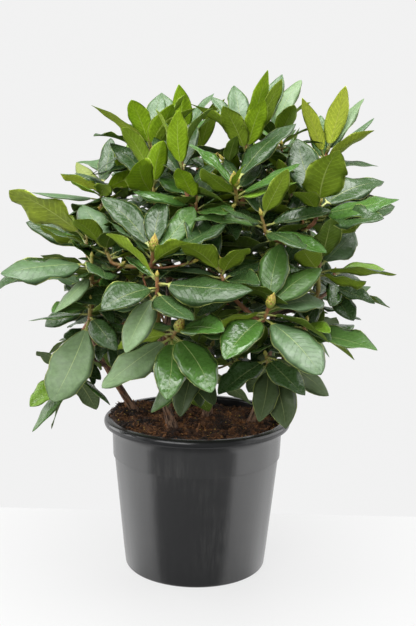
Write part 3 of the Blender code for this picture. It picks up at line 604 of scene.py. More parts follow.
massPlan = {  # the bough that bears the mass, and its whorls
    "top_left_leaves": ("top_left_bough", [
        whorl(-9, -3, 78, 48, [(-3, 7.6, 9.5, "lime", 1.25), (1.2, 9.8, -12, "blue"),
                               (4.2, 7, 10, "lime", 1.1), (-10, 6.6, 13, "straw", 0.62),
                               (-6.5, 4.8, -10, "deep")], leaves=7, bud=True),
        whorl(-4.5, 3, 79, 50, [(0.3, 10, 11, "lime", 1.1), (-3.5, 9.5, -12, "blue"),
                                (6.5, 9.5, -13, "blue", 0.7), (3.8, 2.6, 8, "olive", 1.2)]),
        whorl(-8, -8, 71.5, 35, [(-5, 9.2, 11.5, "olive"), (-8.5, 7, -13, "deep")], leaves=6),
    ]),
    "top_middle_leaves": ("top_middle_bough", [
        whorl(8, -8, 79, 50, [(-6.8, 8, -12, "blue", 0.75), (-4.3, 5.3, 9.5, "olive"),
                              (-2.4, 10, -12.5, "blue"), (2.9, 11.2, 13.2, "lime", 0.75),
                              (5.3, 9.9, 12.5, "olive", 0.7), (6.6, 12, -15, "blue", 0.75),
                              (2.4, 6.3, 9.5, "lime")]),
        whorl(6, -16, 71, 40, [(-5.3, 3, 10), (3.4, 5.5, -11, "deep"), (-1.8, 5, -8.5, "deep"),
                               (10.2, 11, -16.5, "deep")], bud=True),
        whorl(5, 2, 71, 30, leaves=7),
    ]),
    "top_right_leaves": ("top_right_bough", [
        whorl(13.7, 4, 80.5, 52, [(4.7, 10.8, -13, "pale", 0.75), (2.6, 5.2, 8.5, "olive", 1.3)]),
        whorl(22.5, 0, 77, 42, [(2.2, 11.7, 13.5, "backlit", 0.9), (3.4, 11.4, -13.5, "pale"),
                                (7.4, 10.8, -14.5, "pale", 0.85), (-5.2, 9.6, 12.5, "backlit", 0.75),
                                (7.4, 4.2, 11, "straw", 0.75), (-0.8, 7.4, -8.5, "mid", 1.0)]),
        whorl(16, -5, 70, 35),
    ]),
    "centre_leaves": ("centre_bough", [
        whorl(-0.5, -12, 69, 30, [(-2.7, 5, 10), (-7.2, 5, -13), (3.8, 4, -12), (6, -2, 12)]),
        whorl(-3, -12, 74.5, 40, [(2.2, 7.5, -12, "deep"), (-5.2, 5, -10, "deep")], leaves=6),
        whorl(2, -4, 61, 20),
    ]),
    "right_high_leaves": ("right_high_bough", [
        whorl(20, -14, 68, 25, [(1.9, 9.2, 13, "olive", 1.2), (-3.4, 11.6, -14, "deep"),
                                (12, 1.7, 14, "gloss"), (11.8, 4.5, -14, "deep"), (13.8, 0.3, -15, "deep"),
                                (9.4, -1.3, 13, "deep"), (-4.7, 2.5, 9, "olive")], leaves=9),
        whorl(10.5, -18, 66, 25, [(3.6, 8.2, 10, "olive", 0.9), (-1.5, 6.5, -11, "deep"),
                                  (-6.5, 2, 11, "deep"), (6.2, -4, 12, "deep")]),
        whorl(12, -9, 59, 15),
    ]),
    "right_leaves": ("right_bough", [
        whorl(20.5, -14, 58.5, 15, [(6.7, 5.2, -11), (0.7, 8, 11), (-3.5, 3, 9)]),
        whorl(24, -5, 55.5, 5, [(10.5, 0.8, -13, "fresh", 0.5), (6.6, -2, -11, "deep"),
                                (6.2, -3.6, 11, "deep"), (2.7, -6.6, 11, "deep")]),
    ]),
    "right_low_leaves": ("right_low_bough", [
        whorl(11.7, -20, 43.5, -20, [(-1.3, -9.5, 12.5, "matte"), (2.9, -9.7, 13, "matte"),
                                     (5.7, -4.2, 11, "deep"), (10.5, -4.2, 13, "matte"),
                                     (-7.8, -4.5, 12, "deep")]),
        whorl(18.4, -14, 48, -5, [(11, -2.5, 14, "mid"), (3.4, 0, 8, "fresh"), (5, 0.5, 9)]),
    ]),
    "front_right_leaves": ("front_right_bough", [
        whorl(11.4, -26, 52.5, 10, [(9, 5.9, -13, "mid"), (9.5, 0.3, -13, "blue"),
                                    (7.6, -8.5, 14.5, "blue"), (-6.7, -6.5, 13, "gloss"),
                                    (2.2, 9.8, -12, "mid")], bud=True),
        whorl(4, -22, 57.5, 20, [(-5.4, 9.6, -13, "deep"), (-6, 5, 11, "olive"), (5.9, -0.8, 10),
                                 (4, 4.6, 9)], bud=True),
    ]),
    "front_left_leaves": ("front_left_bough", [
        whorl(-6, -26, 56.5, 10, [(-4, -10, 13.5, "pale"), (6, -4.7, 12, "deep"),
                                  (14.8, -0.6, 15.6, "deep"), (-7.6, -3.4, 12, "deep")]),
        whorl(-3, -25, 48.5, -15, [(-10.9, -8, 15, "pale"), (-0.8, -9, 13, "gloss"),
                                   (5.9, -7.5, 14, "gloss"), (7.6, 1.6, 12, "gloss")], bud=True),
        whorl(-12, -11, 54.5, 10, leaves=7),
    ]),
    "front_left_high_leaves": ("front_left_high_bough", [
        whorl(-7, -22, 60.5, 30, [(-9.3, 8.5, -15, "deep", 0.74), (-4.1, 7.3, -12, "mid", 0.85),
                                  (1.1, 8.5, -11, "deep"), (6, 2.2, 8.5, "olive"),
                                  (6, 7.4, -12, "mid")], bud=True),
        whorl(-15.5, -15, 60.5, 25, [(-5.4, 7, -12, "blue"), (-4, 5, 10, "mid")], leaves=7, bud=True),
    ]),
    "front_low_leaves": ("front_low_bough", [
        whorl(-0.2, -16, 42, -30, [(-2, -8, 11, "matte"), (3.2, -6.8, 10, "matte"),
                                   (0.5, -7, 9, "matte")], leaves=7),
    ]),
    "left_leaves": ("left_bough", [
        whorl(-17.5, -17, 58.5, 10, [(-13.3, -1.5, 15.5, "blue"), (-15.4, -4.8, 16.5, "deep"),
                                     (-4.9, -7.6, 12, "pale", 0.8)], leaves=7),
        whorl(-20, -6, 61.5, 25, [(-12.3, 8.4, 16, "straw", 1.35), (-7, 3, 11)], leaves=7),
    ]),
    "left_low_leaves": ("left_low_bough", [
        whorl(-17.8, -17, 51, 0, [(-5.3, -15, 17, "pale"), (-4.8, 2.5, -10), (-5, 0, 9)], leaves=7),
        whorl(-22.5, -12, 38.5, -30, [(-4.9, -8.9, 12, "mid", 0.55), (-5.5, -4.8, 9, "fresh"),
                                      (-4, 5, 9)], leaves=6, size=11),
    ]),
    "left_high_leaves": ("left_high_bough", [
        whorl(-19, 6, 70, 35, [(-5.9, 5.3, -11, "gold"), (-6.5, 2.9, 10, "backlit"),
                               (-4.2, 1.7, 10, "lime"), (1, 10, -12, "deep")]),
        whorl(-11, 2, 64, 25),
    ]),
    "back_left_leaves": ("back_left_bough", [
        whorl(-21, 17, 60, 25, size=14),
        whorl(-22, 9, 51, 0, leaves=7, size=13),
        whorl(-16, 21, 48, -10, size=14),
        whorl(-20, 13, 43, -20, leaves=6, size=12),
    ]),
    "back_top_leaves": ("back_top_bough", [
        whorl(-1, 15, 77, 48, bud=True, size=14),
        whorl(-13, 13, 73, 40, size=14),
        whorl(-5, 22, 66, 25, size=14),
    ]),
    "back_leaves": ("back_bough", [
        whorl(1, 26, 58, 15, size=14),
        whorl(11, 26, 61, 20, bud=True, size=14),
        whorl(-8, 25, 53, 5, size=14),
    ]),
    "back_low_leaves": ("back_low_bough", [
        whorl(5, 23, 44, -20, size=14),
        whorl(-8, 19, 44, -25, leaves=7, size=14),
    ]),
    "back_right_leaves": ("back_right_bough", [
        whorl(19, 18, 64, 25, bud=True, size=14),
        whorl(13, 15, 73, 42, size=14),
        whorl(24.5, 11, 62, 20, size=13),
    ]),
    "back_right_low_leaves": ("back_right_low_bough", [
        whorl(22, 14, 49, -5, size=13),
        whorl(16, 20, 46, -15, size=14),
        whorl(20, 2, 46, -10, leaves=7, size=12),
    ]),
}

# ---- the growing rule


def along(way, share):
    spans = len(way) - 1
    index = min(int(share * spans), spans - 1)
    t = share * spans - index
    b, c = way[index], way[index + 1]
    a = way[index - 1] if index else b * 2 - c
    d = way[index + 2] if index + 2 <= spans else c * 2 - b
    return 0.5 * ((2 * b) + (c - a) * t + (2 * a - 5 * b + 4 * c - d) * t * t
                  + (3 * b - a - 3 * c + d) * t * t * t)


def bend(start, guide, end, share):
    return start * (1 - share) ** 2 + guide * (2 * share * (1 - share)) + end * share ** 2


# the fill is level but for a heap to the left, and its lumps are lower near the wall
def compostHeight(x, y):
    reach = math.hypot(x, y) / potShape["collarRadius"]
    side = max(0.0, -x / potShape["collarRadius"])
    lumps = math.sin(91 * x + 2.0) * math.cos(83 * y - 1.0) + 0.7 * math.sin(151 * y + 47 * x)
    form = compostForm
    return form["level"] + form["heap"] * side ** form["late"] + form["lumps"] * lumps * (1 - 0.5 * reach)


def footHeight(name):
    x, y, _ = stemPlan[name][2][0]
    reach, over = growth["mound"]
    around = []
    for radius in (0, reach / 2, reach):
        for k in range(growth["moundSpots"]):
            angle = math.tau * k / growth["moundSpots"]
            around.append(compostHeight(x * cm + radius * math.cos(angle), y * cm + radius * math.sin(angle)))
    return max(around) + over


def stemWay(name):
    way = [Vector(point) * cm for point in stemPlan[name][2]]
    way[0].z = footHeight(name) + growth["gap"]
    return way


# a bough's curve from its stem's middle to its tip: start, guide, end and the way it points at its tip
def boughCurve(name):
    stem, share, tip = boughPlan[name]
    way = stemWay(stem)
    end = Vector(tip) * cm
    base = along(way, share)
    run = end - base
    guide = base + Vector([length * part for length, part in zip(run, growth["boughGuide"])])
    if share == 1.0:
        ahead = (along(way, 1.0) - along(way, growth["stemEnd"])).normalized()
        guide = base + ahead * (growth["gap"] + run.length * growth["boughFollow"])
    return base, guide, end, (end - guide).normalized()


def shootDirection(place, base):
    lean = (place - base).normalized()
    upward = growth["shootUpward"][0 if lean.z > growth["shootSteep"] else 1]
    return (lean * growth["shootLean"] + Vector((0, 0, upward))).normalized()


def forkShare(main, place):
    for share in growth["forks"]:
        base = along(main, share)
        level = math.hypot(place.x - base.x, place.y - base.y)
        if place.z - base.z > growth["forkRise"] + growth["forkSlope"] * level:
            break
    return share


# for each whorl its shoot: the points of its path and the way it points
def massShoots(boughEnd, boughAhead, whorls):
    shoots = []
    main = None
    for index, item in enumerate(whorls):
        place = Vector(item["at"]) * cm
        base = boughEnd + boughAhead * growth["gap"]
        if index:
            base = along(main, forkShare(main, place) + growth["forkApart"] * index)
        ahead = shootDirection(place, base)
        low = place - ahead * growth["shootBelow"] * cm
        high = place + ahead * growth["shootAbove"] * cm
        run = (low - base).length
        bow = base + boughAhead * (run * growth["boughFollow"])
        if index:
            bow = base.lerp(low, 0.5) - ahead * (run * growth["shootSag"])
        path = [base, bend(base, bow, low, 0.5), low, high]
        main = main or path
        thick = growth["shootThick"][1 if index else 0]
        shoots.append({"path": path, "bow": bow, "ahead": ahead, "thick": thick})
    return shoots


def leafFrame(reach, roll):
    ahead = reach.normalized()
    level = Vector((ahead.x, ahead.y, 0))
    level = level.normalized() if level.length > 1e-4 else Vector((0, -1, 0))
    rise = math.asin(max(-1.0, min(1.0, ahead.z)))
    upper = Matrix.Rotation(roll, 3, ahead) @ (Vector((0, 0, 1)) * math.cos(rise) - level * math.sin(rise))
    return ahead.cross(upper), upper


def rollToFront(reach, share):
    side, upper = leafFrame(reach, 0.0)
    turned = upper + Vector((0, -share, 0))
    return math.atan2(turned.dot(side), turned.dot(upper))


def widestGap(headings):
    if not headings:
        return growth["firstHeading"]
    ordered = sorted(h % 360 for h in headings)
    gaps = [(b - a, (a + b) / 2) for a, b in zip(ordered, ordered[1:] + [ordered[0] + 360])]
    return max(gaps)[1] % 360


def stray(rng, most):
    return rng.uniform(-most, most)


# each leaf of a whorl: where it starts and reaches to, its width, roll and bow, then its tone and its share
# of the usual width, and whether it leads
def whorlLeaves(item, ahead, seed):
    rng = random.Random(seed)
    place = Vector(item["at"]) * cm
    reaches, headings, rolls = [], [], []
    for lead in item["lead"]:
        right, up, length = lead[:3]
        depth = math.sqrt(max(growth["leastDepth"], length ** 2 - right ** 2 - up ** 2))
        back = -depth if length > 0 else depth
        reaches.append(Vector((right, back, up)) * cm)
        headings.append(math.degrees(math.atan2(back, right)))
        under = length > 0 and up > growth["underRise"] * length
        rolls.append(rollToFront(reaches[-1], -growth["faceFront"] if under else growth["faceFront"]))
    while len(reaches) < item["leaves"]:
        heading = widestGap(headings) + stray(rng, growth["headingStray"])
        rise = math.radians(item["lift"] + rng.uniform(*growth["riseStray"]))
        length = item["size"] * rng.uniform(*growth["length"]) * cm
        turn = math.radians(heading)
        level = math.cos(rise)
        reaches.append(Vector((math.cos(turn) * level, math.sin(turn) * level, math.sin(rise))) * length)
        headings.append(heading)
        rolls.append(stray(rng, growth["roll"]))
    order = sorted(range(len(reaches)), key=lambda k: reaches[k].z)
    leaves = []
    for rank, k in enumerate(order):
        share = rank / max(1, len(order) - 1)
        out = reaches[k] - ahead * reaches[k].dot(ahead)
        sink = (share - growth["lowestRoot"]) * growth["shootBelow"]
        root = place + ahead * sink * cm + out.normalized() * growth["rootOut"]
        wide = rng.uniform(*growth["wide"])
        roll = rolls[k] + stray(rng, growth["rollStray"])
        bow = growth["leafBow"] * rng.uniform(*growth["bow"])
        given = item["lead"][k][3:] if k < len(item["lead"]) else ()
        tone, slim = given + (None, 1.0)[len(given):]
        leaves.append(((root, place + reaches[k], wide, roll, bow), tone, slim, k < len(item["lead"])))
    return leaves


# a leaf's rough hull, swollen by spare and without its rings before start, to keep leaves apart
def leafHull(root, tip, wide, roll, bow, spare=0.0, start=0.0):
    reach = tip - root
    length = reach.length
    side, upper = leafFrame(reach, roll)
    half = 0.5 * growth["leafWidth"] * wide * length
    keel = growth["leafThick"] * length + spare
    points = []
    for share, spread in growth["rings"]:
        if share < start:
            continue
        centre = root + reach * share + upper * (bow * length * 4 * share * (1 - share))
        slim = growth["rootSlim"] if share == 0 else 1.0
        across = max(growth["stalkWidth"] / 2, half * spread) * slim + spare
        rim = centre + upper * spare
        points += [rim - side * across, rim + side * across, centre - upper * keel * slim]
    rings = len(points) // 3
    points.append(tip)
    faces = [[0, 1, 2]]
    for low in range(0, rings * 3 - 3, 3):
        for k in range(3):
            near = low + (k + 1) % 3
            faces += [[low + k, near, near + 3], [low + k, near + 3, low + k + 3]]
    last = (rings - 1) * 3
    faces += [[last + k, last + (k + 1) % 3, len(points) - 1] for k in range(3)]
    return points, faces


def tubeHull(path, radii, sides, first, last):
    points, side = [], None
    for i, place in enumerate(path):
        ahead = path[min(i + 1, len(path) - 1)] - path[max(i - 1, 0)]
        if i == 0 and first is not None:
            ahead = first
        if i == len(path) - 1:
            ahead = last
        ahead = ahead.normalized()
        side = ahead.orthogonal() if side is None else side
        side = (side - ahead * side.dot(ahead)).normalized()
        other = ahead.cross(side)
        for k in range(sides):
            angle = math.tau * k / sides
            points.append(place + (side * math.cos(angle) + other * math.sin(angle)) * radii[i])
    faces = [list(range(sides))[::-1], list(range(len(points) - sides, len(points)))]
    for low in range(0, (len(path) - 1) * sides, sides):
        for k in range(sides):
            near = low + (k + 1) % sides
            faces.append([low + k, near, near + sides, low + k + sides])
    return points, faces


def hullRecord(points, faces, owner):
    spots = np.array(points)
    return spots.min(0), spots.max(0), BVHTree.FromPolygons([tuple(p) for p in points], faces), owner


def meets(record, others, skip):
    low, high, tree, _ = record
    for otherLow, otherHigh, otherTree, owner in others:
        if owner == skip or (low > otherHigh).any() or (high < otherLow).any():
            continue
        if tree.overlap(otherTree):
            return True
    return False


# the leaf, turned a little where it would touch something; nothing if no turn clears it
def placeLeaf(leaf, owner, solids, blades, rng):
    root, tip, wide, roll, bow = leaf
    reach = tip - root
    clear = growth["clear"]
    for attempt in range(growth["tries"]):
        spread = attempt / growth["tries"]
        angle = math.radians(stray(rng, growth["turnTried"]) * spread)
        trial = Matrix.Rotation(angle, 3, Vector((0, 0, 1))) @ reach
        trial.z += stray(rng, growth["tiltTried"]) * spread * reach.length
        trial = trial.normalized() * reach.length * (1 - growth["shorter"] * spread)
        far = root + trial
        slim = wide * (1 - growth["slimmer"] * spread)
        whole = hullRecord(*leafHull(root, far, slim, roll, bow, clear), owner)
        if meets(whole, solids, owner):
            continue
        blade = hullRecord(*leafHull(root, far, slim, roll, bow, clear, growth["bladeFrom"]), owner)
        if meets(blade, blades, None):
            continue
        solids.append(whole)
        blades.append(blade)
        return root, far, slim, roll, bow
    return None


def budHull(tip, way):
    length, radius = growth["budLength"] * cm, growth["budRadius"] * cm
    sunk, slim = growth["budRoot"]
    path, radii = [tip - way * sunk], [radius * slim]
    for share, wide in growth["budRoom"]:
        path.append(tip + way * (share * length))
        radii.append(radius * wide)
    return tubeHull(path, radii, growth["budSides"], way, way)


def growPlant():
    solids = []
    for name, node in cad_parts.items():
        if not name.endswith("_leaves"):
            solids.append(hullRecord([v.co for v in node.data.vertices],
                                     [list(face.vertices) for face in node.data.polygons], name))
    shoots, blades, leaves, buds = {}, [], [], []
    for name, (bough, whorls) in massPlan.items():
        _, _, end, ahead = boughCurve(bough)
        shoots[name] = massShoots(end, ahead, whorls)
        for index, shoot in enumerate(shoots[name]):
            radii = [shoot["thick"] * cm * share for share in growth["shootTaper"]]
            hull = tubeHull(shoot["path"], radii, 3 if index else 4, None if index else ahead, shoot["ahead"])
            solids.append(hullRecord(*hull, name))
            blades.append(solids[-1])
        for item, shoot in zip(whorls, shoots[name]):
            tip, way = shoot["path"][-1], shoot["ahead"]
            buds.append((tip, way, item["bud"]))
            if item["bud"]:
                solids.append(hullRecord(*budHull(tip, way), name))
                blades.append(solids[-1])
    waiting = []
    for number, (name, (_, whorls)) in enumerate(massPlan.items()):
        for index, item in enumerate(whorls):
            seed = growth["whorlSeeds"] * number + index
            rng = random.Random(seed + growth["placeSeed"])
            for leaf, tone, slim, leads in whorlLeaves(item, shoots[name][index]["ahead"], seed):
                waiting.append((not leads, name, leaf, tone, slim, item, rng))
    waiting.sort(key=lambda entry: entry[0])  # the leading leaves of all whorls take their places first
    for _, name, leaf, tone, slim, item, rng in waiting:
        found = placeLeaf(leaf, name, solids, blades, rng)
        if found:
            leaves.append((found, name, tone, slim, "whorl", item))
    print("the whorls have", len(leaves), "leaves")
    return shoots, leaves, buds, solids, blades


shoots, leaves, buds, solids, blades = growPlant()

# ---- the inside of the crown: older leaves low on the shoots, and finer twigs with leaves of their own

insideSetup = {
    "older": 5,
    "olderSize": (0.52, 0.84),
    "olderRise": (-58, 18),
    "olderDrop": (1.2, 6.0),  # cm below the whorl's leaves
    "olderStray": 110,  # degrees either side of the way to the plant's middle
    "twigs": 13,
    "twigStart": (0.12, 0.62),
    "twigStray": 120,
    "twigRise": (5, 50),
    "twigLength": (5.0, 10.0),
    "twigSag": 0.12,
    "twigThick": 0.20,
    "twigTaper": (1.15, 1.0, 0.9, 0.8),
    "twigLeaves": 5,
    "twigLeafSize": (7.5, 11.5),
    "twigLeafRise": (-60, 35),
    "twigLeafStray": 25,
    "twigLeafRoot": (0.003, 0.016),
    "wide": (0.86, 1.1),
    "roll": 0.6,
    "reach": 21.0,  # twig tips stay this near the plant's middle
    "seed": 41,
    "bare": {"left_stem": (0.08, 0.90), "front_stem": (0.30, 0.80)},  # no inner leaf before these stretches
    "bareTowards": (0.10, -0.97, 0.21),
    "bareDepth": 24.0,  # how far ahead of the stem that holds, and how far to each side, in cm
    "bareHalf": 0.8,
    "bareSteps": 4,
}


def inwardHeading(place, rng, spread):
    return math.degrees(math.atan2(-place.y, -place.x)) + stray(rng, spread)


def headed(heading, rise, length):
    turn, lift = math.radians(heading), math.radians(rise)
    return Vector((math.cos(turn) * math.cos(lift), math.sin(turn) * math.cos(lift), math.sin(lift))) * length


def addInnerLeaf(name, item, root, reach, rng, setup):
    wide = rng.uniform(*setup["wide"])
    roll = stray(rng, setup["roll"])
    bow = growth["leafBow"] * rng.uniform(*growth["bow"])
    found = placeLeaf((root, root + reach, wide, roll, bow), name, solids, blades, rng)
    if found:
        leaves.append((found, name, None, 1.0, "inside", item))


def growOlderLeaves(setup):
    rng = random.Random(setup["seed"])
    before = len(leaves)
    for name, (_, whorls) in massPlan.items():
        for item, shoot in zip(whorls, shoots[name]):
            low, middle = shoot["path"][2], shoot["path"][1]
            for _ in range(setup["older"]):
                drop = rng.uniform(*setup["olderDrop"]) * cm
                root = low.lerp(middle, min(1.0, drop / max(1e-6, (low - middle).length)))
                heading = inwardHeading(low, rng, setup["olderStray"])
                rise = rng.uniform(*setup["olderRise"])
                length = item["size"] * rng.uniform(*setup["olderSize"]) * cm
                addInnerLeaf(name, item, root, headed(heading, rise, length), rng, setup)
    print("older leaves:", len(leaves) - before)


def growInnerTwigs(setup):
    rng = random.Random(setup["seed"] + 1)
    before = len(leaves)
    twigs = []
    thick = setup["twigThick"]
    for name, (_, whorls) in massPlan.items():
        main = shoots[name][0]["path"]
        for _ in range(setup["twigs"]):
            start = along(main, rng.uniform(*setup["twigStart"]))
            heading = inwardHeading(start, rng, setup["twigStray"])
            length = rng.uniform(*setup["twigLength"]) * cm
            tip = start + headed(heading, rng.uniform(*setup["twigRise"]), length)
            if math.hypot(tip.x, tip.y) > setup["reach"] * cm:
                continue
            guide = start.lerp(tip, 0.5) - Vector((0, 0, setup["twigSag"] * length))
            path = [bend(start, guide, tip, share / 3) for share in range(4)]
            ahead = (tip - guide).normalized()
            hull = hullRecord(*tubeHull(path[1:], [thick * cm] * 3, 3, None, ahead), name)
            if meets(hull, blades, None) or meets(hull, solids, name):
                continue
            solids.append(hull)
            blades.append(hull)
            twigs.append((path, [thick * share for share in setup["twigTaper"]]))
            buds.append((tip, ahead, False))
            for turn in range(setup["twigLeaves"]):
                heading = turn * 360 / setup["twigLeaves"] + stray(rng, setup["twigLeafStray"])
                rise = rng.uniform(*setup["twigLeafRise"])
                reach = headed(heading, rise, rng.uniform(*setup["twigLeafSize"]) * cm)
                root = tip - ahead * rng.uniform(*setup["twigLeafRoot"])
                addInnerLeaf(name, whorls[0], root, reach, rng, setup)
    print("inner twigs:", len(twigs), "with", len(leaves) - before, "leaves")
    return twigs


def keepBare(setup):
    out = Vector(setup["bareTowards"]) * setup["bareDepth"] * cm
    half = Vector((setup["bareHalf"] * cm, 0, 0))
    steps = setup["bareSteps"]
    for name, (low, high) in setup["bare"].items():
        way = stemWay(name)
        points, faces = [], []
        for k in range(steps + 1):
            spot = along(way, low + (high - low) * k / steps)
            points += [spot - half, spot + half, spot + half + out, spot - half + out]
        for k in range(0, steps * 4, 4):
            faces += [[k + n, k + (n + 1) % 4, k + (n + 1) % 4 + 4, k + n + 4] for n in range(4)]
        solids.append(hullRecord(points, faces, "bare"))


keepBare(insideSetup)
growOlderLeaves(insideSetup)
innerTwigs = growInnerTwigs(insideSetup)

# ---- stems, boughs and shoots: curves with a thickness, given bark that runs along them

limbSetup = {
    "stems": {"sides": 18, "step": 0.0045, "relief": 0.20},
    "boughs": {"sides": 14, "step": 0.0045, "relief": 0.17},
    "shoots": {"sides": 9, "step": 0.006, "relief": 0.10},
    "steps": 14,
    "shootSteps": 8,
    "flare": [1.9, 1.35],
    "sunk": 0.03,  # how far a stem goes down into the fill
    "overlap": 0.004,
    "boughRoot": 1.25,
    "boughTip": (0.1, 0.05),
    "shootTaper": (1.05, 0.86, 0.62),
    "squeeze": (1, 1, 0.16),
    "lumps": (420, 3, 0.65),
}

barkLook = {
    "cracks": (0.018, 0.008, 0.004, 1),
    "ridges": (0.240, 0.140, 0.082, 1),
    "rust": (0.200, 0.072, 0.024, 1),
    "rusty": 0.75,
    "roughness": 0.82,
    "stretch": (1.0, 1.0, 0.13),
    "plates": (330, 4, 0.72),
    "ridgeEdge": (0.40, 0.62),
    "flakes": (700, 3, 0.6),
    "flakeRelief": 0.3,
    "patches": (60, 2, 0.5),
    "rustEdge": (0.5, 0.72),
    "bump": (0.8, 0.0012),
}

shootLook = {
    "brown": (0.190, 0.088, 0.036, 1),
    "red": (0.250, 0.085, 0.030, 1),
    "green": (0.230, 0.215, 0.045, 1),
    "roughness": 0.55,
    "stretch": (1.0, 1.0, 0.2),
    "lines": (600, 3, 0.6),
    "lineEdge": (0.38, 0.66),
    "patches": (14, 2, 0.5),
    "patchEdge": (0.46, 0.66),
    "bump": (0.5, 0.0006),
}


def limbTree(setup):
    tree, given, out = newTree("growLimb", {"Sides": "Int", "Step": "Float", "Relief": "Float",
                                            "Material": "Material"})
    line = addNode(tree, "GeometryNodeMeshToCurve", {"Mesh": given["Geometry"]}).outputs[0]
    line = addNode(tree, "GeometryNodeResampleCurve", {"Curve": line, "Length": given["Step"]},
                   mode="LENGTH").outputs[0]
    line = stored(tree, line, "run", addNode(tree, "GeometryNodeSplineParameter").outputs["Length"])
    ring = addNode(tree, "GeometryNodeCurvePrimitiveCircle", {"Resolution": given["Sides"], "Radius": 1.0})
    around = addNode(tree, "GeometryNodeSplineParameter").outputs["Factor"]
    ring = stored(tree, ring.outputs["Curve"], "turn", around)
    thick = named(tree, "thick")
    tube = addNode(tree, "GeometryNodeCurveToMesh", {"Curve": line, "Profile Curve": ring, "Scale": thick,
                                                     "Fill Caps": True}).outputs[0]
    angle = times(tree, named(tree, "turn"), math.tau)
    cosine = times(tree, calc(tree, "COSINE", angle), thick)
    sine = times(tree, calc(tree, "SINE", angle), thick)
    grain = addNode(tree, "ShaderNodeCombineXYZ", {"X": cosine, "Y": sine, "Z": named(tree, "run")})
    tube = stored(tree, tube, "grain", grain.outputs[0], "FLOAT_VECTOR")
    squeezed = addNode(tree, "ShaderNodeVectorMath", {0: named(tree, "grain", "FLOAT_VECTOR"),
                                                      1: setup["squeeze"]}, operation="MULTIPLY").outputs[0]
    lumps = noise(tree, squeezed, *setup["lumps"])
    height = times(tree, minus(tree, lumps, 0.5), given["Relief"])
    normal = addNode(tree, "GeometryNodeInputNormal").outputs["Normal"]
    offset = scaled(tree, normal, times(tree, height, thick))
    moved = addNode(tree, "GeometryNodeSetPosition", {"Geometry": tube, "Offset": offset}).outputs[0]
    finishTree(tree, moved, given["Material"], out)
    return tree


def barkMaterial(look):
    material, tree, shader = newMaterial("crackedBark")
    grain = addNode(tree, "ShaderNodeAttribute", attribute_name="grain").outputs["Vector"]
    plates = noise(tree, stretched(tree, grain, look["stretch"]), *look["plates"])
    flakes = noise(tree, grain, *look["flakes"])
    patches = noise(tree, grain, *look["patches"])
    colour = mixed(tree, eased(tree, plates, *look["ridgeEdge"]), look["cracks"], look["ridges"])
    rusty = times(tree, eased(tree, patches, *look["rustEdge"]), look["rusty"])
    colour = mixed(tree, rusty, colour, look["rust"])
    paint(tree, shader, colour, look["roughness"])
    bump(tree, shader, plus(tree, plates, times(tree, flakes, look["flakeRelief"])), *look["bump"])
    return material


def shootMaterial(look):
    material, tree, shader = newMaterial("youngBark")
    grain = addNode(tree, "ShaderNodeAttribute", attribute_name="grain").outputs["Vector"]
    place = addNode(tree, "ShaderNodeTexCoord").outputs["Object"]
    lines = noise(tree, stretched(tree, grain, look["stretch"]), *look["lines"])
    patches = noise(tree, place, *look["patches"])
    colour = mixed(tree, eased(tree, lines, *look["lineEdge"]), look["brown"], look["red"])
    colour = mixed(tree, eased(tree, patches, *look["patchEdge"]), colour, look["green"])
    paint(tree, shader, colour, look["roughness"])
    bump(tree, shader, lines, *look["bump"])
    return material


def linesMesh(name, paths):
    points, edges, thick = [], [], []
    for path, radii in paths:
        edges += [(len(points) + k, len(points) + k + 1) for k in range(len(path) - 1)]
        points += [tuple(p) for p in path]
        thick += [r * cm for r in radii]
    mesh = bpy.data.meshes.new(name)
    mesh.from_pydata(points, edges, [])
    setAttribute(mesh, "thick", "FLOAT", thick)
    return mesh


def ramp(start, end, steps):
    return [start + (end - start) * k / steps for k in range(steps + 1)]


def makeLimbs(setup):
    steps, shootSteps, overlap = setup["steps"], setup["shootSteps"], setup["overlap"]
    stemPaths, boughPaths, shootPaths = [], [], []
    for name, (foot, tip, _) in stemPlan.items():
        way = stemWay(name)
        path = [along(way, share) for share in ramp(0, 1, steps)]
        path.insert(0, path[0] - Vector((0, 0, setup["sunk"])))
        stemPaths.append((path, [foot * flare for flare in setup["flare"]] + ramp(foot, tip, steps)[1:]))
    for name, (stem, share, _) in boughPlan.items():
        base, guide, end, ahead = boughCurve(name)
        thick, thin = growth["boughTaper"]
        if share == 1.0:
            thick = stemPlan[stem][1]
            base = base - (guide - base).normalized() * overlap
        path = [bend(base, guide, end, part) for part in ramp(0, 1, steps)]
        near, last = (thin + more for more in setup["boughTip"])
        radii = ramp(thick, near, steps)
        radii[0] *= setup["boughRoot"]
        boughPaths.append((path + [end + ahead * overlap], radii + [last]))
    for grown in shoots.values():
        for shoot in grown:
            base, _, low, high = shoot["path"]
            path = [bend(base, shoot["bow"], low, part) for part in ramp(0, 1, shootSteps)] + [high]
            first, near, last = (shoot["thick"] * share for share in setup["shootTaper"])
            shootPaths.append((path, ramp(first, near, shootSteps) + [last]))
    shootPaths += innerTwigs
    tree = limbTree(setup)
    bark, young = barkMaterial(barkLook), shootMaterial(shootLook)
    work = [("stems", stemPaths, bark, "bark", list(stemPlan)),
            ("boughs", boughPaths, bark, "bark", list(boughPlan)),
            ("shoots", shootPaths, young, "foliage", list(massPlan))]
    for name, paths, material, slot, nodes in work:
        limbs = addObject(name, linesMesh(name, paths))
        size = setup[name]
        runTree(limbs, tree, {"Sides": size["sides"], "Step": size["step"], "Relief": size["relief"],
                              "Material": material})
        finishPiece(limbs, nodes)


makeLimbs(limbSetup)

# ---- leaves: one closed template, bent to each leaf's own reach, bow, folds and waves

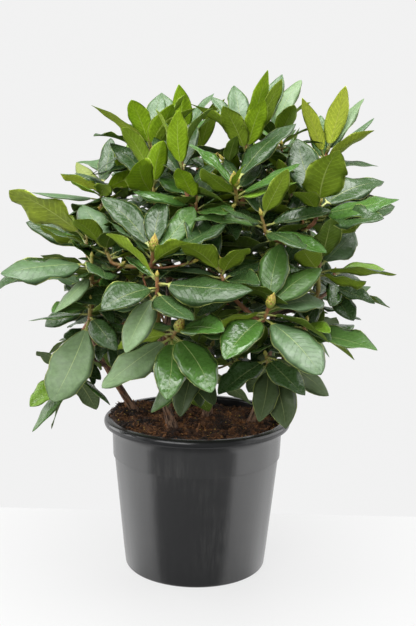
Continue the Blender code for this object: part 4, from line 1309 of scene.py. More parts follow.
leafSetup = {
    "rows": [0, 0.07, 0.125, 0.15, 0.18, 0.225, 0.285, 0.36, 0.44, 0.52, 0.60, 0.68, 0.76, 0.83, 0.89,
             0.94, 0.975],
    "columns": [-1, -0.7, -0.36, 0, 0.36, 0.7, 1],
    "bladeSets": (0.10, 0.10),  # where the stalk starts to become the blade, and over what stretch
    "stalkFades": (0.12, 0.5),
    "stalkEnds": 0.14,
    "width": 0.43,
    "slimHigh": 0.80,  # the young leaves up high are narrower
    "bladeStart": 0.13,
    "swell": (0.60, 0.92),  # how slowly the blade widens from its base, and closes to its tip
    "close": (0.70, 0.98),
    "stalkHalf": 0.0021,
    "stalkDepth": 0.0026,
    "stalkTop": 0.0009,
    "blade": 0.00042,
    "rib": 0.0011,
    "ribTop": 0.0004,
    "waves": 2.4,
    "skew": 1.7,  # how much the waves lag from edge to edge, and how much faster the edge ruffles
    "flutter": 1.6,
    "wave": (0.04, 0.20),
    "fold": (-0.22, 0.45),
    "curl": (0.02, 0.20),
    "ruffle": (0.0, 0.05),
    "twist": (-0.40, 0.40),
    "twistFrom": 0.3,
    "sway": (-0.05, 0.05),
    "highUp": 68,  # cm above the floor: where the high band of whorls starts, and the middle one
    "midway": 50,
    "mapMargin": 0.04,
    "seed": 5,
}

leafVectors = ["root", "reach", "side", "upper"]
leafNumbers = ["half", "lift", "fold", "wave", "curl", "twist", "ruffle", "swell", "close", "sway", "phase",
               "topTone", "underTone"]

topTones = {  # swell and vein: the surface's relief, in millimetres
    "deep": {"colour": (0.028, 0.060, 0.017), "roughness": 0.28, "shine": 0.36, "swell": 4.0, "vein": 0.26},
    "gloss": {"colour": (0.046, 0.112, 0.020), "roughness": 0.22, "shine": 0.50, "swell": 4.5, "vein": 0.20},
    "mid": {"colour": (0.054, 0.120, 0.024), "roughness": 0.34, "shine": 0.38, "swell": 3.0, "vein": 0.26},
    "blue": {"colour": (0.060, 0.112, 0.044), "roughness": 0.40, "shine": 0.40, "swell": 2.5, "vein": 0.24},
    "fresh": {"colour": (0.120, 0.225, 0.018), "roughness": 0.32, "shine": 0.34, "swell": 3.0, "vein": 0.20},
    # pale is a lightened copy of the blue-green for leaves in strong light: painted light; gold is a yellowed
    # green, also lightened to stand for light shining through it: partly its own tone, partly painted light
    "pale": {"colour": (0.112, 0.176, 0.078), "roughness": 0.46, "shine": 0.36, "swell": 1.5, "vein": 0.10},
    "gold": {"colour": (0.145, 0.176, 0.042), "roughness": 0.46, "shine": 0.30, "swell": 1.5, "vein": 0.10},
    "matte": {"colour": (0.044, 0.066, 0.026), "roughness": 0.55, "shine": 0.22, "swell": 1.5, "vein": 0.08},
}

# the olive, lime and backlit undersides are lightened past their own colour to stand for light from below and
# light shining through the leaf: partly their own tone, partly painted light; backlit is almost all painted
# glow
underColours = {  # with their roughness
    "olive": ((0.165, 0.245, 0.017), 0.62),
    "lime": ((0.215, 0.340, 0.012), 0.60),
    "straw": ((0.210, 0.270, 0.026), 0.60),
    "backlit": ((0.490, 0.580, 0.060), 0.60),
    "moss": ((0.078, 0.130, 0.014), 0.64),
    "grey": ((0.080, 0.115, 0.046), 0.66),
}

underTones = {name: {"colour": colour, "roughness": roughness, "shine": 0.16, "swell": 2.0, "vein": 0.20}
              for name, (colour, roughness) in underColours.items()}

veinLook = {
    "rib": (0.30, 0.32, 0.12, 1),
    "ribWidth": 0.026,
    "underRib": 1.5,  # the rib is wider underneath
    "ribEnd": 1.06,
    "ribEdge": (0.45, 1.0),
    "ribBlend": (0.4, 0.6),
    "ribShown": (0.62, 0.85),  # on a top and on an underside
    "rim": (0.34, 0.40, 0.10, 1),
    "rimEdge": (0.466, 0.490),
    "rimShown": 0.75,
    "pairs": 13.0,
    "slant": 2.3,
    "bend": 0.8,
    "veinEdge": (0.34, 0.5),
    "veinEnd": (0.47, 0.30),
    "veinShown": (2.5, 0.34),
    "pale": (1.9, 0.012),
    # on a top the veins are darkened to this share: painted shade in their impressed grooves
    "grooveShade": 0.62,
    "mottled": 0.8,
    "mottleEdge": (0.34, 0.68),
    "roughStray": 0.16,
    "shineEdge": (0.38, 0.66),
    "shineStray": (0.58, 1.22),
    "map": (5.0, 14.0, 1.0),  # about a centimetre a unit
    "mapStep": (7.0, 3.0),  # from tone to tone
    "broad": (0.42, 2, 0.5),
    "mottle": (1.5, 3, 0.55),
    "fine": (9.0, 3, 0.6),
    "relief": {"rib": 0.5, "mottle": 0.55, "fine": 0.05},  # in millimetres
    "bump": (0.8, 0.001),
    "stalk": (0.23, 0.25, 0.060, 1),
    "stalkRed": (0.24, 0.12, 0.050, 1),
    "stalkEdge": (0.01, 0.09),
    "stalkStray": 0.06,
    "stalkMap": (3.0, 30.0, 1.0),
    "streaks": (2.0, 3, 0.6),
    "stalkRoughness": 0.5,
    "stalkBump": (0.3, 0.0004),
}

# the moss-heavy undersides of the middle band and the deep and moss tones inside the crown are painted shade;
# the lime undersides high up are partly painted light
toneDeal = {  # chances of a top's tone and of an underside's, by height
    "high": ({"fresh": 3, "gloss": 4, "mid": 3, "blue": 2}, {"lime": 3, "olive": 5, "moss": 2}),
    "middle": ({"gloss": 4, "deep": 6, "mid": 3, "blue": 2}, {"olive": 4, "moss": 6}),
    "low": ({"mid": 4, "blue": 3, "deep": 3, "gloss": 2}, {"olive": 2, "moss": 4, "grey": 4}),
    "inside": ({"deep": 1}, {"moss": 6, "grey": 2}),
}


def clamped(value, start, span):
    return min(1.0, max(0.0, (value - start) / span))


def leafTemplate(setup):
    rows, columns = setup["rows"], setup["columns"]
    width = len(columns)
    records = []  # along, across, depth, stalk
    top, under = [], []
    for share in rows:
        blade = clamped(share, *setup["bladeSets"])
        stalk = setup["stalkHalf"] * (1 - clamped(share, *setup["stalkFades"]))
        top.append([])
        for across in columns:
            arch = math.sqrt(1 - across * across)
            raised = setup["ribTop"] * blade if across == 0 else 0
            top[-1].append(len(records))
            records.append((share, across, -setup["stalkTop"] * arch * (1 - blade) + raised, stalk))
        under.append([top[-1][0]])
        for across in columns[1:-1]:
            arch = math.sqrt(1 - across * across)
            rib = setup["rib"] * (1 - share) if across == 0 else 0
            depth = setup["stalkDepth"] * arch * (1 - blade) + (setup["blade"] * arch ** 0.5 + rib) * blade
            under[-1].append(len(records))
            records.append((share, across, depth, stalk))
        under[-1].append(top[-1][-1])
    tip = len(records)
    records.append((1.0, 0.0, 0.0, 0.0))
    faces, parts = [], []
    for r in range(len(rows)):
        stalked = rows[r] < setup["stalkEnds"]
        for k in range(width - 1):
            for sheet, way in ((top, 1), (under, -1)):  # split alike, so that the two sheets can't cross
                a, b = sheet[r][k], sheet[r][k + 1]
                made = [[a, tip, b]]
                if r + 1 < len(rows):
                    c, d = sheet[r + 1][k], sheet[r + 1][k + 1]
                    made = [[a, c, d], [a, d, b]] if k < (width - 1) / 2 else [[a, c, b], [b, c, d]]
                faces += [face[::way] for face in made]
                parts += [2 if stalked else 0 if way == 1 else 1] * len(made)
    faces.append(top[0] + under[0][-2:0:-1])
    parts.append(2)
    mesh = bpy.data.meshes.new("leafTemplate")
    mesh.from_pydata([(share, across, -depth) for share, across, depth, _ in records], [], faces)
    for name, values in zip(("along", "across", "depth", "stalk"), zip(*records)):
        setAttribute(mesh, name, "FLOAT", values)
    part = mesh.attributes.new("part", "INT", "FACE")
    part.data.foreach_set("value", parts)
    chart = mesh.uv_layers.new(name="leafMap")
    for loop in mesh.loops:
        share, across = records[loop.vertex_index][:2]
        chart.data[loop.index].uv = ((across + 1) / 2, share)
    return mesh


def leafTree(setup, tones, stalk):
    tree, given, out = newTree("growLeaves", {"Leaf": "Object", "Waves": "Float", "Blade Start": "Float"})
    leaf = addNode(tree, "GeometryNodeObjectInfo", {"Object": given["Leaf"]}).outputs["Geometry"]
    dots = addNode(tree, "GeometryNodeMeshToPoints", {"Mesh": given["Geometry"]}).outputs[0]
    grown = addNode(tree, "GeometryNodeInstanceOnPoints", {"Points": dots, "Instance": leaf}).outputs[0]
    real = addNode(tree, "GeometryNodeRealizeInstances", {"Geometry": grown}).outputs[0]
    share, across, wave = (named(tree, name) for name in ("along", "across", "wave"))
    root, reach, side, upper = (named(tree, name, "FLOAT_VECTOR") for name in leafVectors)
    start = given["Blade Start"]
    part = calc(tree, "DIVIDE", minus(tree, share, start), minus(tree, 1.0, start))
    part = calc(tree, "MAXIMUM", part, 0.0)
    opening = calc(tree, "POWER", part, named(tree, "swell"))
    closing = calc(tree, "POWER", minus(tree, 1.0, part), named(tree, "close"))
    wide = times(tree, times(tree, opening, closing), named(tree, "half"))
    square = times(tree, across, across)
    arch = times(tree, times(tree, share, minus(tree, 1.0, share)), 4.0)
    lift = times(tree, arch, named(tree, "lift"))
    angle = plus(tree, times(tree, share, given["Waves"]), named(tree, "phase"))
    angle = calc(tree, "MULTIPLY_ADD", angle, math.tau, times(tree, across, setup["skew"]))
    ripple = times(tree, times(tree, calc(tree, "SINE", angle), wave), square)
    crease = times(tree, calc(tree, "ABSOLUTE", across), named(tree, "fold"))
    roll = times(tree, times(tree, square, square), named(tree, "curl"))
    rise = minus(tree, plus(tree, ripple, crease), roll)
    rise = minus(tree, times(tree, rise, wide), named(tree, "depth"))
    flutter = calc(tree, "SINE", times(tree, angle, setup["flutter"]))
    ruffle = calc(tree, "MULTIPLY_ADD", flutter, named(tree, "ruffle"), 1.0)
    over = calc(tree, "MULTIPLY_ADD", wide, ruffle, named(tree, "stalk"))
    over = times(tree, across, over)
    turn = times(tree, minus(tree, share, setup["twistFrom"]), named(tree, "twist"))
    cosine, sine = calc(tree, "COSINE", turn), calc(tree, "SINE", turn)
    aside = minus(tree, times(tree, over, cosine), times(tree, rise, sine))
    aside = calc(tree, "MULTIPLY_ADD", arch, named(tree, "sway"), aside)
    above = plus(tree, times(tree, over, sine), times(tree, rise, cosine))
    above = plus(tree, above, lift)
    place = total(tree, root, scaled(tree, reach, share), scaled(tree, side, aside),
                  scaled(tree, upper, above))
    shaped = addNode(tree, "GeometryNodeSetPosition", {"Geometry": real, "Position": place}).outputs[0]
    shaped = addNode(tree, "GeometryNodeSetShadeSmooth", {"Geometry": shaped}).outputs[0]
    shaped = addNode(tree, "GeometryNodeRealizeInstances", {"Geometry": shaped}).outputs[0]
    shaped = addNode(tree, "GeometryNodeSetMaterial", {"Geometry": shaped, "Material": stalk}).outputs[0]
    part = named(tree, "part", "INT")
    for number, material in enumerate(tones):
        isTop = number < len(topTones)
        tone = named(tree, "topTone" if isTop else "underTone")
        chosen = calc(tree, "COMPARE", tone, float(number), 0.4)
        onPart = calc(tree, "COMPARE", part, 0.0 if isTop else 1.0, 0.4)
        both = times(tree, chosen, onPart)
        shaped = addNode(tree, "GeometryNodeSetMaterial", {"Geometry": shaped, "Selection": both,
                                                           "Material": material}).outputs[0]
    tree.links.new(shaped, out)
    return tree


def shade(colour, factor, more=0.0):
    return tuple(min(1.0, value * factor + more) for value in colour[:3]) + (1,)


def leafMaterial(name, look, veins, isUnder, number):
    material, tree, shader = newMaterial(name + "Leaf")
    chart = addNode(tree, "ShaderNodeUVMap", uv_map="leafMap").outputs[0]
    parts = addNode(tree, "ShaderNodeSeparateXYZ", {"Vector": chart})
    along, off = parts.outputs["Y"], calc(tree, "ABSOLUTE", minus(tree, parts.outputs["X"], 0.5))
    even = stretched(tree, chart, veins["map"], [number * step for step in veins["mapStep"]] + [0])
    broad, mottle, fine = (noise(tree, even, *veins[kind]) for kind in ("broad", "mottle", "fine"))
    ribWidth = veins["ribWidth"] * (veins["underRib"] if isUnder else 1.0)
    narrowing = times(tree, minus(tree, veins["ribEnd"], along), ribWidth)
    rib = minus(tree, 1.0, eased(tree, calc(tree, "DIVIDE", off, narrowing), *veins["ribEdge"]))
    phase = calc(tree, "MULTIPLY_ADD", along, veins["pairs"], times(tree, off, -2 * veins["slant"]))
    phase = plus(tree, phase, times(tree, mottle, veins["bend"]))
    saw = calc(tree, "ABSOLUTE", minus(tree, calc(tree, "FRACT", phase), 0.5))
    vein = times(tree, eased(tree, saw, *veins["veinEdge"]), eased(tree, off, *veins["veinEnd"]))
    base, pale = shade(look["colour"], 1.0), shade(look["colour"], *veins["pale"])
    # a top's veins take painted shade, an underside's veins their own pale colour
    veinTintAndGrooveShade = pale if isUnder else shade(base, veins["grooveShade"])
    veinShown = veins["veinShown"][1] if isUnder else veins["veinShown"][0] * look["vein"]
    kept, new = veins["ribBlend"]
    ribColour = tuple(kept * value + new * added for value, added in zip(pale[:3], veins["rib"])) + (1,)
    ribShown = veins["ribShown"][1 if isUnder else 0]
    colour = mixed(tree, eased(tree, mottle, *veins["mottleEdge"]), shade(base, veins["mottled"]), base)
    colour = mixed(tree, times(tree, vein, veinShown), colour, veinTintAndGrooveShade)
    colour = mixed(tree, times(tree, rib, ribShown), colour, ribColour)
    rim = times(tree, eased(tree, off, *veins["rimEdge"]), veins["rimShown"])
    least = look["roughness"] - veins["roughStray"] / 2
    rough = calc(tree, "MULTIPLY_ADD", mottle, veins["roughStray"], least)
    paint(tree, shader, mixed(tree, rim, colour, veins["rim"]), rough)
    dull, bright = (look["shine"] * share for share in veins["shineStray"])
    shine = eased(tree, broad, *veins["shineEdge"], dull, bright)
    tree.links.new(shine, shader.inputs["Specular IOR Level"])
    relief = veins["relief"]
    height = calc(tree, "MULTIPLY_ADD", vein, look["vein"], times(tree, rib, relief["rib"]))
    height = times(tree, height, 1.0 if isUnder else -1.0)
    height = calc(tree, "MULTIPLY_ADD", broad, look["swell"], height)
    height = calc(tree, "MULTIPLY_ADD", mottle, relief["mottle"], height)
    height = calc(tree, "MULTIPLY_ADD", fine, relief["fine"], height)
    bump(tree, shader, height, *veins["bump"])
    return material


def stalkMaterial(veins):
    material, tree, shader = newMaterial("leafStalk")
    chart = addNode(tree, "ShaderNodeUVMap", uv_map="leafMap").outputs[0]
    along = addNode(tree, "ShaderNodeSeparateXYZ", {"Vector": chart}).outputs["Y"]
    streaks = noise(tree, stretched(tree, chart, veins["stalkMap"]), *veins["streaks"])
    height = calc(tree, "MULTIPLY_ADD", streaks, veins["stalkStray"], along)
    green = eased(tree, height, *veins["stalkEdge"])
    paint(tree, shader, mixed(tree, green, veins["stalkRed"], veins["stalk"]), veins["stalkRoughness"])
    bump(tree, shader, streaks, *veins["stalkBump"])
    return material


# each tone has its own square of the baked map, which all its leaves share
def chartTones(mesh, tones, margin):
    count = len(mesh.loops)
    chart = np.empty(count * 2, np.float32)
    mesh.uv_layers["leafMap"].data.foreach_get("uv", chart)
    chart = chart.reshape(-1, 2)
    slots = np.empty(len(mesh.polygons), np.int32)
    mesh.polygons.foreach_get("material_index", slots)
    sizes = np.empty(len(mesh.polygons), np.int32)
    mesh.polygons.foreach_get("loop_total", sizes)
    slot = np.repeat(slots, sizes)
    across = math.ceil(math.sqrt(tones))
    corner = np.stack([slot % across, slot // across], 1)
    tiled = (corner + margin + (1 - 2 * margin) * chart) / across
    made = mesh.uv_layers.new(name="OFBake")
    made.data.foreach_set("uv", tiled.astype(np.float32).ravel())
    mesh.uv_layers["leafMap"].active = True


def makeLeaves(setup):
    rng = random.Random(setup["seed"])
    template = addObject("leafTemplate", leafTemplate(setup))
    template.hide_render = True
    tones = []
    for looks, isUnder in ((topTones, False), (underTones, True)):
        for k, (name, look) in enumerate(looks.items()):
            tones.append(leafMaterial(name, look, veinLook, isUnder, k))
    tree = leafTree(setup, tones, stalkMaterial(veinLook))
    topNames, underNames = list(topTones), list(underTones)
    groups = {"topLeaves": ("top_", "left_high", "centre"), "frontLeaves": ("front_",),
              "leftLeaves": ("left_",), "rightLeaves": ("right_",), "backLeaves": ("back_",)}
    left = list(leaves)
    for piece, starts in groups.items():
        own = [entry for entry in left if entry[1].startswith(starts)]
        left = [entry for entry in left if not entry[1].startswith(starts)]
        rows = {name: [] for name in leafVectors + leafNumbers}
        for (root, tip, wide, roll, bow), name, tone, slim, kind, item in own:
            reach = tip - root
            length = reach.length
            side, upper = leafFrame(reach, roll)
            height = item["at"][2]
            band = "high" if height > setup["highUp"] else "middle" if height > setup["midway"] else "low"
            tops, unders = toneDeal[band if kind == "whorl" else "inside"]
            topTone = rng.choices(list(tops), list(tops.values()))[0]
            underTone = rng.choices(list(unders), list(unders.values()))[0]
            if tone in topTones:
                topTone = tone
            if tone in underTones:
                underTone = tone
            for key, vector in zip(leafVectors, (root, reach, -side, upper)):
                rows[key].append(tuple(vector))
            for key in ("fold", "wave", "curl", "twist", "ruffle", "swell", "close"):
                rows[key].append(rng.uniform(*setup[key]))
            swell, close = rows["swell"][-1], rows["close"][-1]
            widest = swell ** swell * close ** close / (swell + close) ** (swell + close)
            slim *= setup["slimHigh"] if band == "high" and kind == "whorl" else 1.0
            rows["half"].append(0.5 * setup["width"] * slim * wide * length / widest)
            rows["lift"].append(bow * length)
            rows["sway"].append(rng.uniform(*setup["sway"]) * length)
            rows["phase"].append(rng.random())
            rows["topTone"].append(topNames.index(topTone))
            rows["underTone"].append(len(topNames) + underNames.index(underTone))
        mesh = bpy.data.meshes.new(piece)
        mesh.from_pydata(rows["root"], [], [])
        for key, values in rows.items():
            setAttribute(mesh, key, "FLOAT_VECTOR" if key in leafVectors else "FLOAT", values)
        made = addObject(piece, mesh)
        runTree(made, tree, {"Leaf": template, "Waves": setup["waves"], "Blade Start": setup["bladeStart"]})
        chartTones(made.data, len(tones) + 1, setup["mapMargin"])
        finishPiece(made, [name for name in massPlan if any(entry[1] == name for entry in own)])
    bpy.data.objects.remove(template)


makeLeaves(leafSetup)

# ---- buds: overlapping scales in a spiral round a plump core

budSetup = {
    "radius": 0.235,
    "rings": 9,
    "sides": 10,
    "core": 0.93,
    "coreLeast": 0.02,
    "scales": 22,
    "turn": 137.5,
    "feet": (0.02, 0.60, 0.9),  # the scales' feet: the lowest, the span they climb and its curve
    "tall": (0.30, 0.08),
    "rowSpan": 3.4,
    "topShare": 0.97,
    "spread": (0.85, 1.0, 0.72, 0.10),
    "wrap": 0.95,
    "outer": 1.08,
    "inner": 0.90,
    "lipOut": 0.05,
    "thick": 0.012,
    "sideShade": 0.35,
    "long": (1.05, 1.22),
    "wide": (1.22, 1.42),
    "leafBud": (0.46, 0.42),  # a leaf bud's length and width beside a flower bud's
    "leafLong": (0.8, 1.1),
    "leafWide": (0.85, 1.15),
    "sunk": (0.002, 0.004),  # a leaf bud and a flower bud
    "seed": 12,
}

budLook = {
    "scale": (0.430, 0.370, 0.060, 1),
    "green": (0.230, 0.270, 0.040, 1),
    "edge": (0.260, 0.120, 0.030, 1),
    "roughness": 0.48,
    "patches": (70, 2, 0.5),
    "patchEdge": (0.38, 0.64),
    "fine": (900, 3, 0.6),
    "fineShare": 0.4,
    "rimEdge": (0.62, 1.2),
    "bump": (0.4, 0.0004),
}


# plump below the middle and drawn in at the tip
def budWidth(share, radius):
    return radius * (math.sin(math.pi * min(1.0, share * 0.62 + 0.24)) ** 1.15) * (1 - share ** 1.9) ** 0.8


def budTemplate(setup):
    radius, sides = setup["radius"], setup["sides"]
    form = bmesh.new()
    rings = []
    for k in range(setup["rings"]):
        share = k / setup["rings"]
        wide = max(setup["coreLeast"], budWidth(share, radius) * setup["core"])
        turns = [a * math.tau / sides for a in range(sides)]
        rings.append([form.verts.new((wide * math.cos(a), wide * math.sin(a), share)) for a in turns])
    peak = form.verts.new((0, 0, 1.0))
    for low, high in zip(rings, rings[1:]):
        for a in range(sides):
            b = (a + 1) % sides
            form.faces.new((low[a], low[b], high[b], high[a]))
    for a in range(sides):
        form.faces.new((rings[-1][a], rings[-1][(a + 1) % sides], peak))
    form.faces.new(rings[0][::-1])
    edge = form.verts.layers.float.new("rim")
    lowest, climb, curve = setup["feet"]
    for k in range(setup["scales"]):
        foot = lowest + climb * (k / setup["scales"]) ** curve
        tall = setup["tall"][0] + setup["tall"][1] * (1 - foot)
        middle = math.radians(k * setup["turn"])
        outer, inner = [], []
        for row in range(4):
            share = foot + tall * row / setup["rowSpan"]
            spread = setup["spread"][row] * setup["wrap"]
            wide = budWidth(min(share, setup["topShare"]), radius)
            flared = setup["outer"] + setup["lipOut"] * (row == 3)
            for sheet, lift, thick in ((outer, flared, setup["thick"]), (inner, setup["inner"], 0)):
                spots = []
                for column in (-1, 0, 1):
                    angle = middle + column * spread
                    r = wide * (lift if column == 0 else lift - setup["lipOut"]) + thick
                    spot = form.verts.new((r * math.cos(angle), r * math.sin(angle), share))
                    isEdge = row == 3 or (column and row == 2)
                    spot[edge] = 1.0 if isEdge else setup["sideShade"] if column else 0.0
                    spots.append(spot)
                sheet.append(spots)
        for row in range(3):
            for column in range(2):
                a, b = outer[row][column], outer[row][column + 1]
                c, d = outer[row + 1][column], outer[row + 1][column + 1]
                form.faces.new((a, b, d, c))
                e, f = inner[row][column], inner[row][column + 1]
                g, h = inner[row + 1][column], inner[row + 1][column + 1]
                form.faces.new((e, g, h, f))
            form.faces.new((outer[row][0], outer[row + 1][0], inner[row + 1][0], inner[row][0]))
            form.faces.new((outer[row][2], inner[row][2], inner[row + 1][2], outer[row + 1][2]))
        for column in range(2):
            form.faces.new((outer[3][column], outer[3][column + 1], inner[3][column + 1], inner[3][column]))
            form.faces.new((outer[0][column], inner[0][column], inner[0][column + 1], outer[0][column + 1]))
    mesh = bpy.data.meshes.new("budTemplate")
    form.to_mesh(mesh)
    form.free()
    return mesh


def budTree():
    tree, given, out = newTree("setBuds", {"Bud": "Object", "Material": "Material"})
    bud = addNode(tree, "GeometryNodeObjectInfo", {"Object": given["Bud"]}).outputs["Geometry"]
    dots = addNode(tree, "GeometryNodeMeshToPoints", {"Mesh": given["Geometry"]}).outputs[0]
    ahead, size = named(tree, "ahead", "FLOAT_VECTOR"), named(tree, "size", "FLOAT_VECTOR")
    turned = addNode(tree, "FunctionNodeAlignRotationToVector", {"Vector": ahead}, axis="Z")
    grown = addNode(tree, "GeometryNodeInstanceOnPoints", {"Points": dots, "Instance": bud, "Scale": size,
                                                           "Rotation": turned.outputs[0]}).outputs[0]
    finishTree(tree, grown, given["Material"], out)
    return tree


def budMaterial(look):
    material, tree, shader = newMaterial("budScales")
    place = addNode(tree, "ShaderNodeTexCoord").outputs["Object"]
    rim = addNode(tree, "ShaderNodeAttribute", attribute_name="rim").outputs["Fac"]
    patches = noise(tree, place, *look["patches"])
    fine = noise(tree, place, *look["fine"])
    brown = eased(tree, calc(tree, "MULTIPLY_ADD", fine, look["fineShare"], rim), *look["rimEdge"])
    colour = mixed(tree, eased(tree, patches, *look["patchEdge"]), look["green"], look["scale"])
    paint(tree, shader, mixed(tree, brown, colour, look["edge"]), look["roughness"])
    bump(tree, shader, fine, *look["bump"])
    return material


def makeBuds(setup):
    rng = random.Random(setup["seed"])
    template = addObject("budTemplate", budTemplate(setup))
    template.hide_render = True
    faceOutwards(template.data)
    ahead, size, points = [], [], []
    for tip, way, isFlower in buds:
        length = growth["budLength"] * cm * rng.uniform(*setup["long"])
        wide = growth["budRadius"] * cm / setup["radius"] * rng.uniform(*setup["wide"])
        if not isFlower:
            length *= setup["leafBud"][0] * rng.uniform(*setup["leafLong"])
            wide *= setup["leafBud"][1] * rng.uniform(*setup["leafWide"])
        points.append(tuple(tip - way * setup["sunk"][1 if isFlower else 0]))
        ahead.append(tuple(way))
        size.append((wide, wide, length))
    mesh = bpy.data.meshes.new("buds")
    mesh.from_pydata(points, [], [])
    setAttribute(mesh, "ahead", "FLOAT_VECTOR", ahead)
    setAttribute(mesh, "size", "FLOAT_VECTOR", size)
    made = addObject("buds", mesh)
    runTree(made, budTree(), {"Bud": template, "Material": budMaterial(budLook)})
    bpy.data.objects.remove(template)
    finishPiece(made, list(massPlan))


makeBuds(budSetup)

# ---- compost: a heaved bed, with crumbs, fibres and chips strewn over it

compostSetup = {
    "rings": 48,
    "sides": 150,
    "edge": 0.1566,
    "wallRings": (0.2, 0.22),
    "footGap": 0.0005,
    "relief": 0.036,
    "heave": [(40, 3, 0.6), (210, 3, 0.7)],
    "small": 0.35,
    "mound": (0.005, 0.022),  # the soil drawn up round a stem: height and reach
    "heap": (0.009, 3),  # soil banked up to the rim at the back left, and how late it rises
    "spill": (0.011, 8),  # how far it lies over the rim there
    "heapTowards": 162,
    "heapSpread": 34,
    "overRim": 0.001,
    "underRim": 0.004,
    "loose": (0.25, 0.15),  # how much the soil is heaved at the wall, and how soon more inwards
    "firm": 0.8,  # and how much less beside a stem
    "bitsAbove": 0.24,
    "bitsOverRim": 0.0008,
    "grain": 160,
    "crumbs": {"density": 26000, "small": 0.0010, "large": 0.0046, "tilt": 3.1, "seed": 3, "grain": 240,
               "clear": 0.003},
    "fibres": {"density": 16000, "small": 0.45, "large": 1.25, "tilt": 0.6, "seed": 8, "grain": 120,
               "clear": 0.009, "length": 0.017, "thick": 0.00065, "flat": 1.0, "steps": 4, "wander": 0.0022,
               "formSeed": 2},
    "chips": {"density": 2200, "small": 0.5, "large": 1.6, "tilt": 0.9, "seed": 14, "grain": 90,
              "clear": 0.009, "length": 0.011, "thick": 0.0030, "flat": 0.35, "steps": 3, "wander": 0.0008,
              "formSeed": 4},
    "specks": {"density": 3200, "small": 0.0009, "large": 0.0023, "tilt": 3.1, "seed": 21, "grain": 240,
               "clear": 0.002},
    "lump": (0.62, 1.15),
    "lumpSeed": 6,
}

compostLook = {
    "soil": [(0.007, 0.0032, 0.0017, 1), (0.085, 0.034, 0.012, 1)],
    "crumbs": [(0.009, 0.0040, 0.0020, 1), (0.120, 0.050, 0.018, 1)],
    "fibres": [(0.045, 0.018, 0.007, 1), (0.260, 0.115, 0.040, 1)],
    "chips": [(0.060, 0.024, 0.009, 1), (0.300, 0.125, 0.040, 1)],
    "specks": [(0.300, 0.180, 0.030, 1), (0.620, 0.440, 0.090, 1)],
}

earthLook = {
    "lumps": (4, 0.7),
    "fine": (3, 0.6),
    "finer": 6,
    "fineRelief": 0.5,
    "patches": (34, 2, 0.5),
    "share": (0.8, 0.6),  # of the patches and of the lumps in the tint
    "edge": (0.58, 0.84),
    "roughness": 0.92,
    "bump": (0.7, 0.0012),
}


def earthMaterial(name, colours, scale, look):
    material, tree, shader = newMaterial(name)
    place = addNode(tree, "ShaderNodeTexCoord").outputs["Object"]
    lumps = noise(tree, place, scale, *look["lumps"])
    fine = noise(tree, place, scale * look["finer"], *look["fine"])
    patches = noise(tree, place, *look["patches"])
    tint = calc(tree, "MULTIPLY_ADD", patches, look["share"][0], times(tree, lumps, look["share"][1]))
    colour = mixed(tree, eased(tree, tint, *look["edge"]), *colours)
    paint(tree, shader, colour, look["roughness"])
    bump(tree, shader, plus(tree, lumps, times(tree, fine, look["fineRelief"])), *look["bump"])
    return material


def bedMesh(setup):
    sides, rings = setup["sides"], setup["rings"]
    wall = potShape["wall"] + growth["gap"]
    points, loose = [], []
    walls = [(potShape["baseRadius"] - wall - setup["footGap"], wall)]
    walls += [(potRadius(height) - wall, height) for height in setup["wallRings"]]
    for radius, height in walls:
        for k in range(sides):
            angle = math.tau * k / sides
            points.append((radius * math.cos(angle), radius * math.sin(angle), height))
            loose.append(0.0)
    feet = [way[0] for _, _, way in stemPlan.values()]
    turned = [(360 * k / sides - setup["heapTowards"] + 180) % 360 - 180 for k in range(sides)]
    banked = [math.exp(-(turn / setup["heapSpread"]) ** 2) for turn in turned]
    rim = potShape["height"]
    (mound, spread), (heap, late), (spill, later) = setup["mound"], setup["heap"], setup["spill"]
    least, more = setup["loose"]
    for ring in range(-1, rings):  # the one before 0 stands at the wall, under the soil that lies on the rim
        share = 1 - max(0, ring) / rings
        for k in range(sides):
            angle = math.tau * k / sides
            radius = setup["edge"] * share
            if ring >= 0:
                radius += spill * banked[k] * share ** later
            x, y = radius * math.cos(angle), radius * math.sin(angle)
            near = min(math.hypot(x - fx * cm, y - fy * cm) for fx, fy, _ in feet)
            bank = math.exp(-(near / spread) ** 2)
            height = compostHeight(x, y) + mound * bank + heap * banked[k] * share ** late
            if ring == 0:
                height = min(height, rim + setup["overRim"])
            if ring < 0:
                height = min(height, rim) - setup["underRim"]
            points.append((x, y, height))
            loose.append(min(1.0, least + ring * more) * (1 - setup["firm"] * bank) if ring >= 0 else 0.0)
    points.append((0, 0, compostHeight(0, 0)))
    loose.append(1.0)
    faces = [list(range(sides))[::-1]]
    last = len(points) - 1 - sides
    for low in range(0, last, sides):
        for k in range(sides):
            near = low + (k + 1) % sides
            faces.append([low + k, near, near + sides, low + k + sides])
    faces += [[last + k, last + (k + 1) % sides, len(points) - 1] for k in range(sides)]
    mesh = bpy.data.meshes.new("compostBed")
    mesh.from_pydata(points, [], faces)
    setAttribute(mesh, "loose", "FLOAT", loose)
    return mesh


def heaveTree(setup):
    tree, given, out = newTree("heaveSoil", {"Relief": "Float", "Material": "Material"})
    place = addNode(tree, "GeometryNodeInputPosition").outputs[0]
    height, small = (minus(tree, noise(tree, place, *form), 0.5) for form in setup["heave"])
    height = calc(tree, "MULTIPLY_ADD", small, setup["small"], height)
    height = times(tree, times(tree, height, given["Relief"]), named(tree, "loose"))
    offset = addNode(tree, "ShaderNodeCombineXYZ", {"Z": height}).outputs[0]
    moved = addNode(tree, "GeometryNodeSetPosition", {"Geometry": given["Geometry"], "Offset": offset})
    finishTree(tree, moved.outputs[0], given["Material"], out)
    return tree


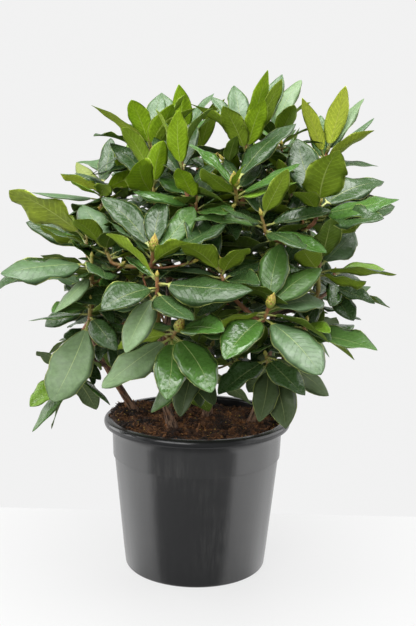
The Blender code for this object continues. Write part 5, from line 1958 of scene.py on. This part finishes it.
def strewTree():
    tree, given, out = newTree("strewBits", {"Bit": "Object", "Density": "Float", "Smallest": "Float",
                                             "Largest": "Float", "Tilt": "Float", "Seed": "Int",
                                             "Reach": "Float", "Above": "Float", "Rim": "Float",
                                             "Material": "Material"})
    bit = addNode(tree, "GeometryNodeObjectInfo", {"Object": given["Bit"]}).outputs["Geometry"]
    place = addNode(tree, "GeometryNodeInputPosition").outputs[0]
    level = addNode(tree, "ShaderNodeVectorMath", {0: place, 1: (1.0, 1.0, 0.0)}, operation="MULTIPLY")
    reach = addNode(tree, "ShaderNodeVectorMath", {0: level.outputs[0]}, operation="LENGTH").outputs["Value"]
    height = addNode(tree, "ShaderNodeSeparateXYZ", {"Vector": place}).outputs["Z"]
    inside = calc(tree, "LESS_THAN", reach, given["Reach"])
    clear = calc(tree, "MAXIMUM", inside, calc(tree, "GREATER_THAN", height, given["Rim"]))
    onTop = times(tree, clear, calc(tree, "GREATER_THAN", height, given["Above"]))
    spots = addNode(tree, "GeometryNodeDistributePointsOnFaces",
                    {"Mesh": given["Geometry"], "Selection": onTop, "Density": given["Density"],
                     "Seed": given["Seed"]}).outputs["Points"]
    tilt = given["Tilt"]
    back = times(tree, tilt, -1.0)
    least = addNode(tree, "ShaderNodeCombineXYZ", {"X": back, "Y": back, "Z": 0.0}).outputs[0]
    most = addNode(tree, "ShaderNodeCombineXYZ", {"X": tilt, "Y": tilt, "Z": math.tau}).outputs[0]
    spin = addNode(tree, "FunctionNodeRandomValue", {0: least, 1: most, "Seed": given["Seed"]},
                   data_type="FLOAT_VECTOR")
    turn = addNode(tree, "FunctionNodeEulerToRotation", {"Euler": spin.outputs[0]}).outputs[0]
    other = plus(tree, given["Seed"], 1.0)
    size = addNode(tree, "FunctionNodeRandomValue", {2: given["Smallest"], 3: given["Largest"],
                                                     "Seed": other}, data_type="FLOAT")
    laid = addNode(tree, "GeometryNodeInstanceOnPoints", {"Points": spots, "Instance": bit, "Rotation": turn,
                                                          "Scale": size.outputs[1]}).outputs[0]
    finishTree(tree, laid, given["Material"], out, smooth=False)
    return tree


def lumpMesh(setup):
    rng = random.Random(setup["lumpSeed"])
    form = bmesh.new()
    bmesh.ops.create_icosphere(form, subdivisions=1, radius=1.0)
    for vert in form.verts:
        vert.co *= rng.uniform(*setup["lump"])
    mesh = bpy.data.meshes.new("crumb")
    form.to_mesh(mesh)
    form.free()
    return mesh


# a bent stick, thickest near its middle
def stickMesh(size):
    rng = random.Random(size["formSeed"])
    path, radii = [], []
    for k in range(size["steps"] + 1):
        share = k / size["steps"]
        aside, above = stray(rng, size["wander"]), stray(rng, size["wander"]) * 0.5
        path.append(Vector(((share - 0.5) * size["length"], aside, above)))
        radii.append(size["thick"] * (1 - 0.75 * abs(share - 0.45) ** 1.5))
    points, faces = tubeHull(path, radii, 4, None, path[-1] - path[-2])
    mesh = bpy.data.meshes.new("stick")
    mesh.from_pydata([(p.x, p.y, p.z * size["flat"]) for p in points], [], faces)
    faceOutwards(mesh)
    return mesh


def makeCompost(setup):
    bed = addObject("compostBed", bedMesh(setup))
    soil = earthMaterial("peat", compostLook["soil"], setup["grain"], earthLook)
    runTree(bed, heaveTree(setup), {"Relief": setup["relief"], "Material": soil})
    faceOutwards(bed.data)
    tree = strewTree()
    for name in ("crumbs", "fibres", "chips", "specks"):
        size = setup[name]
        bit = addObject("oneOfThe" + name, stickMesh(size) if "length" in size else lumpMesh(setup))
        bit.hide_render = True
        earth = earthMaterial("peat" + name.capitalize(), compostLook[name], size["grain"], earthLook)
        strewn = addObject("compost" + name.capitalize(), bed.data.copy())
        runTree(strewn, tree, {"Bit": bit, "Density": float(size["density"]), "Smallest": size["small"],
                               "Largest": size["large"], "Tilt": size["tilt"], "Seed": size["seed"],
                               "Reach": setup["edge"] - size["clear"], "Above": setup["bitsAbove"],
                               "Rim": potShape["height"] + setup["bitsOverRim"],
                               "Material": earth})
        bpy.data.objects.remove(bit)
        finishPiece(strewn, ["compost"])
    finishPiece(bed, ["compost"])


makeCompost(compostSetup)
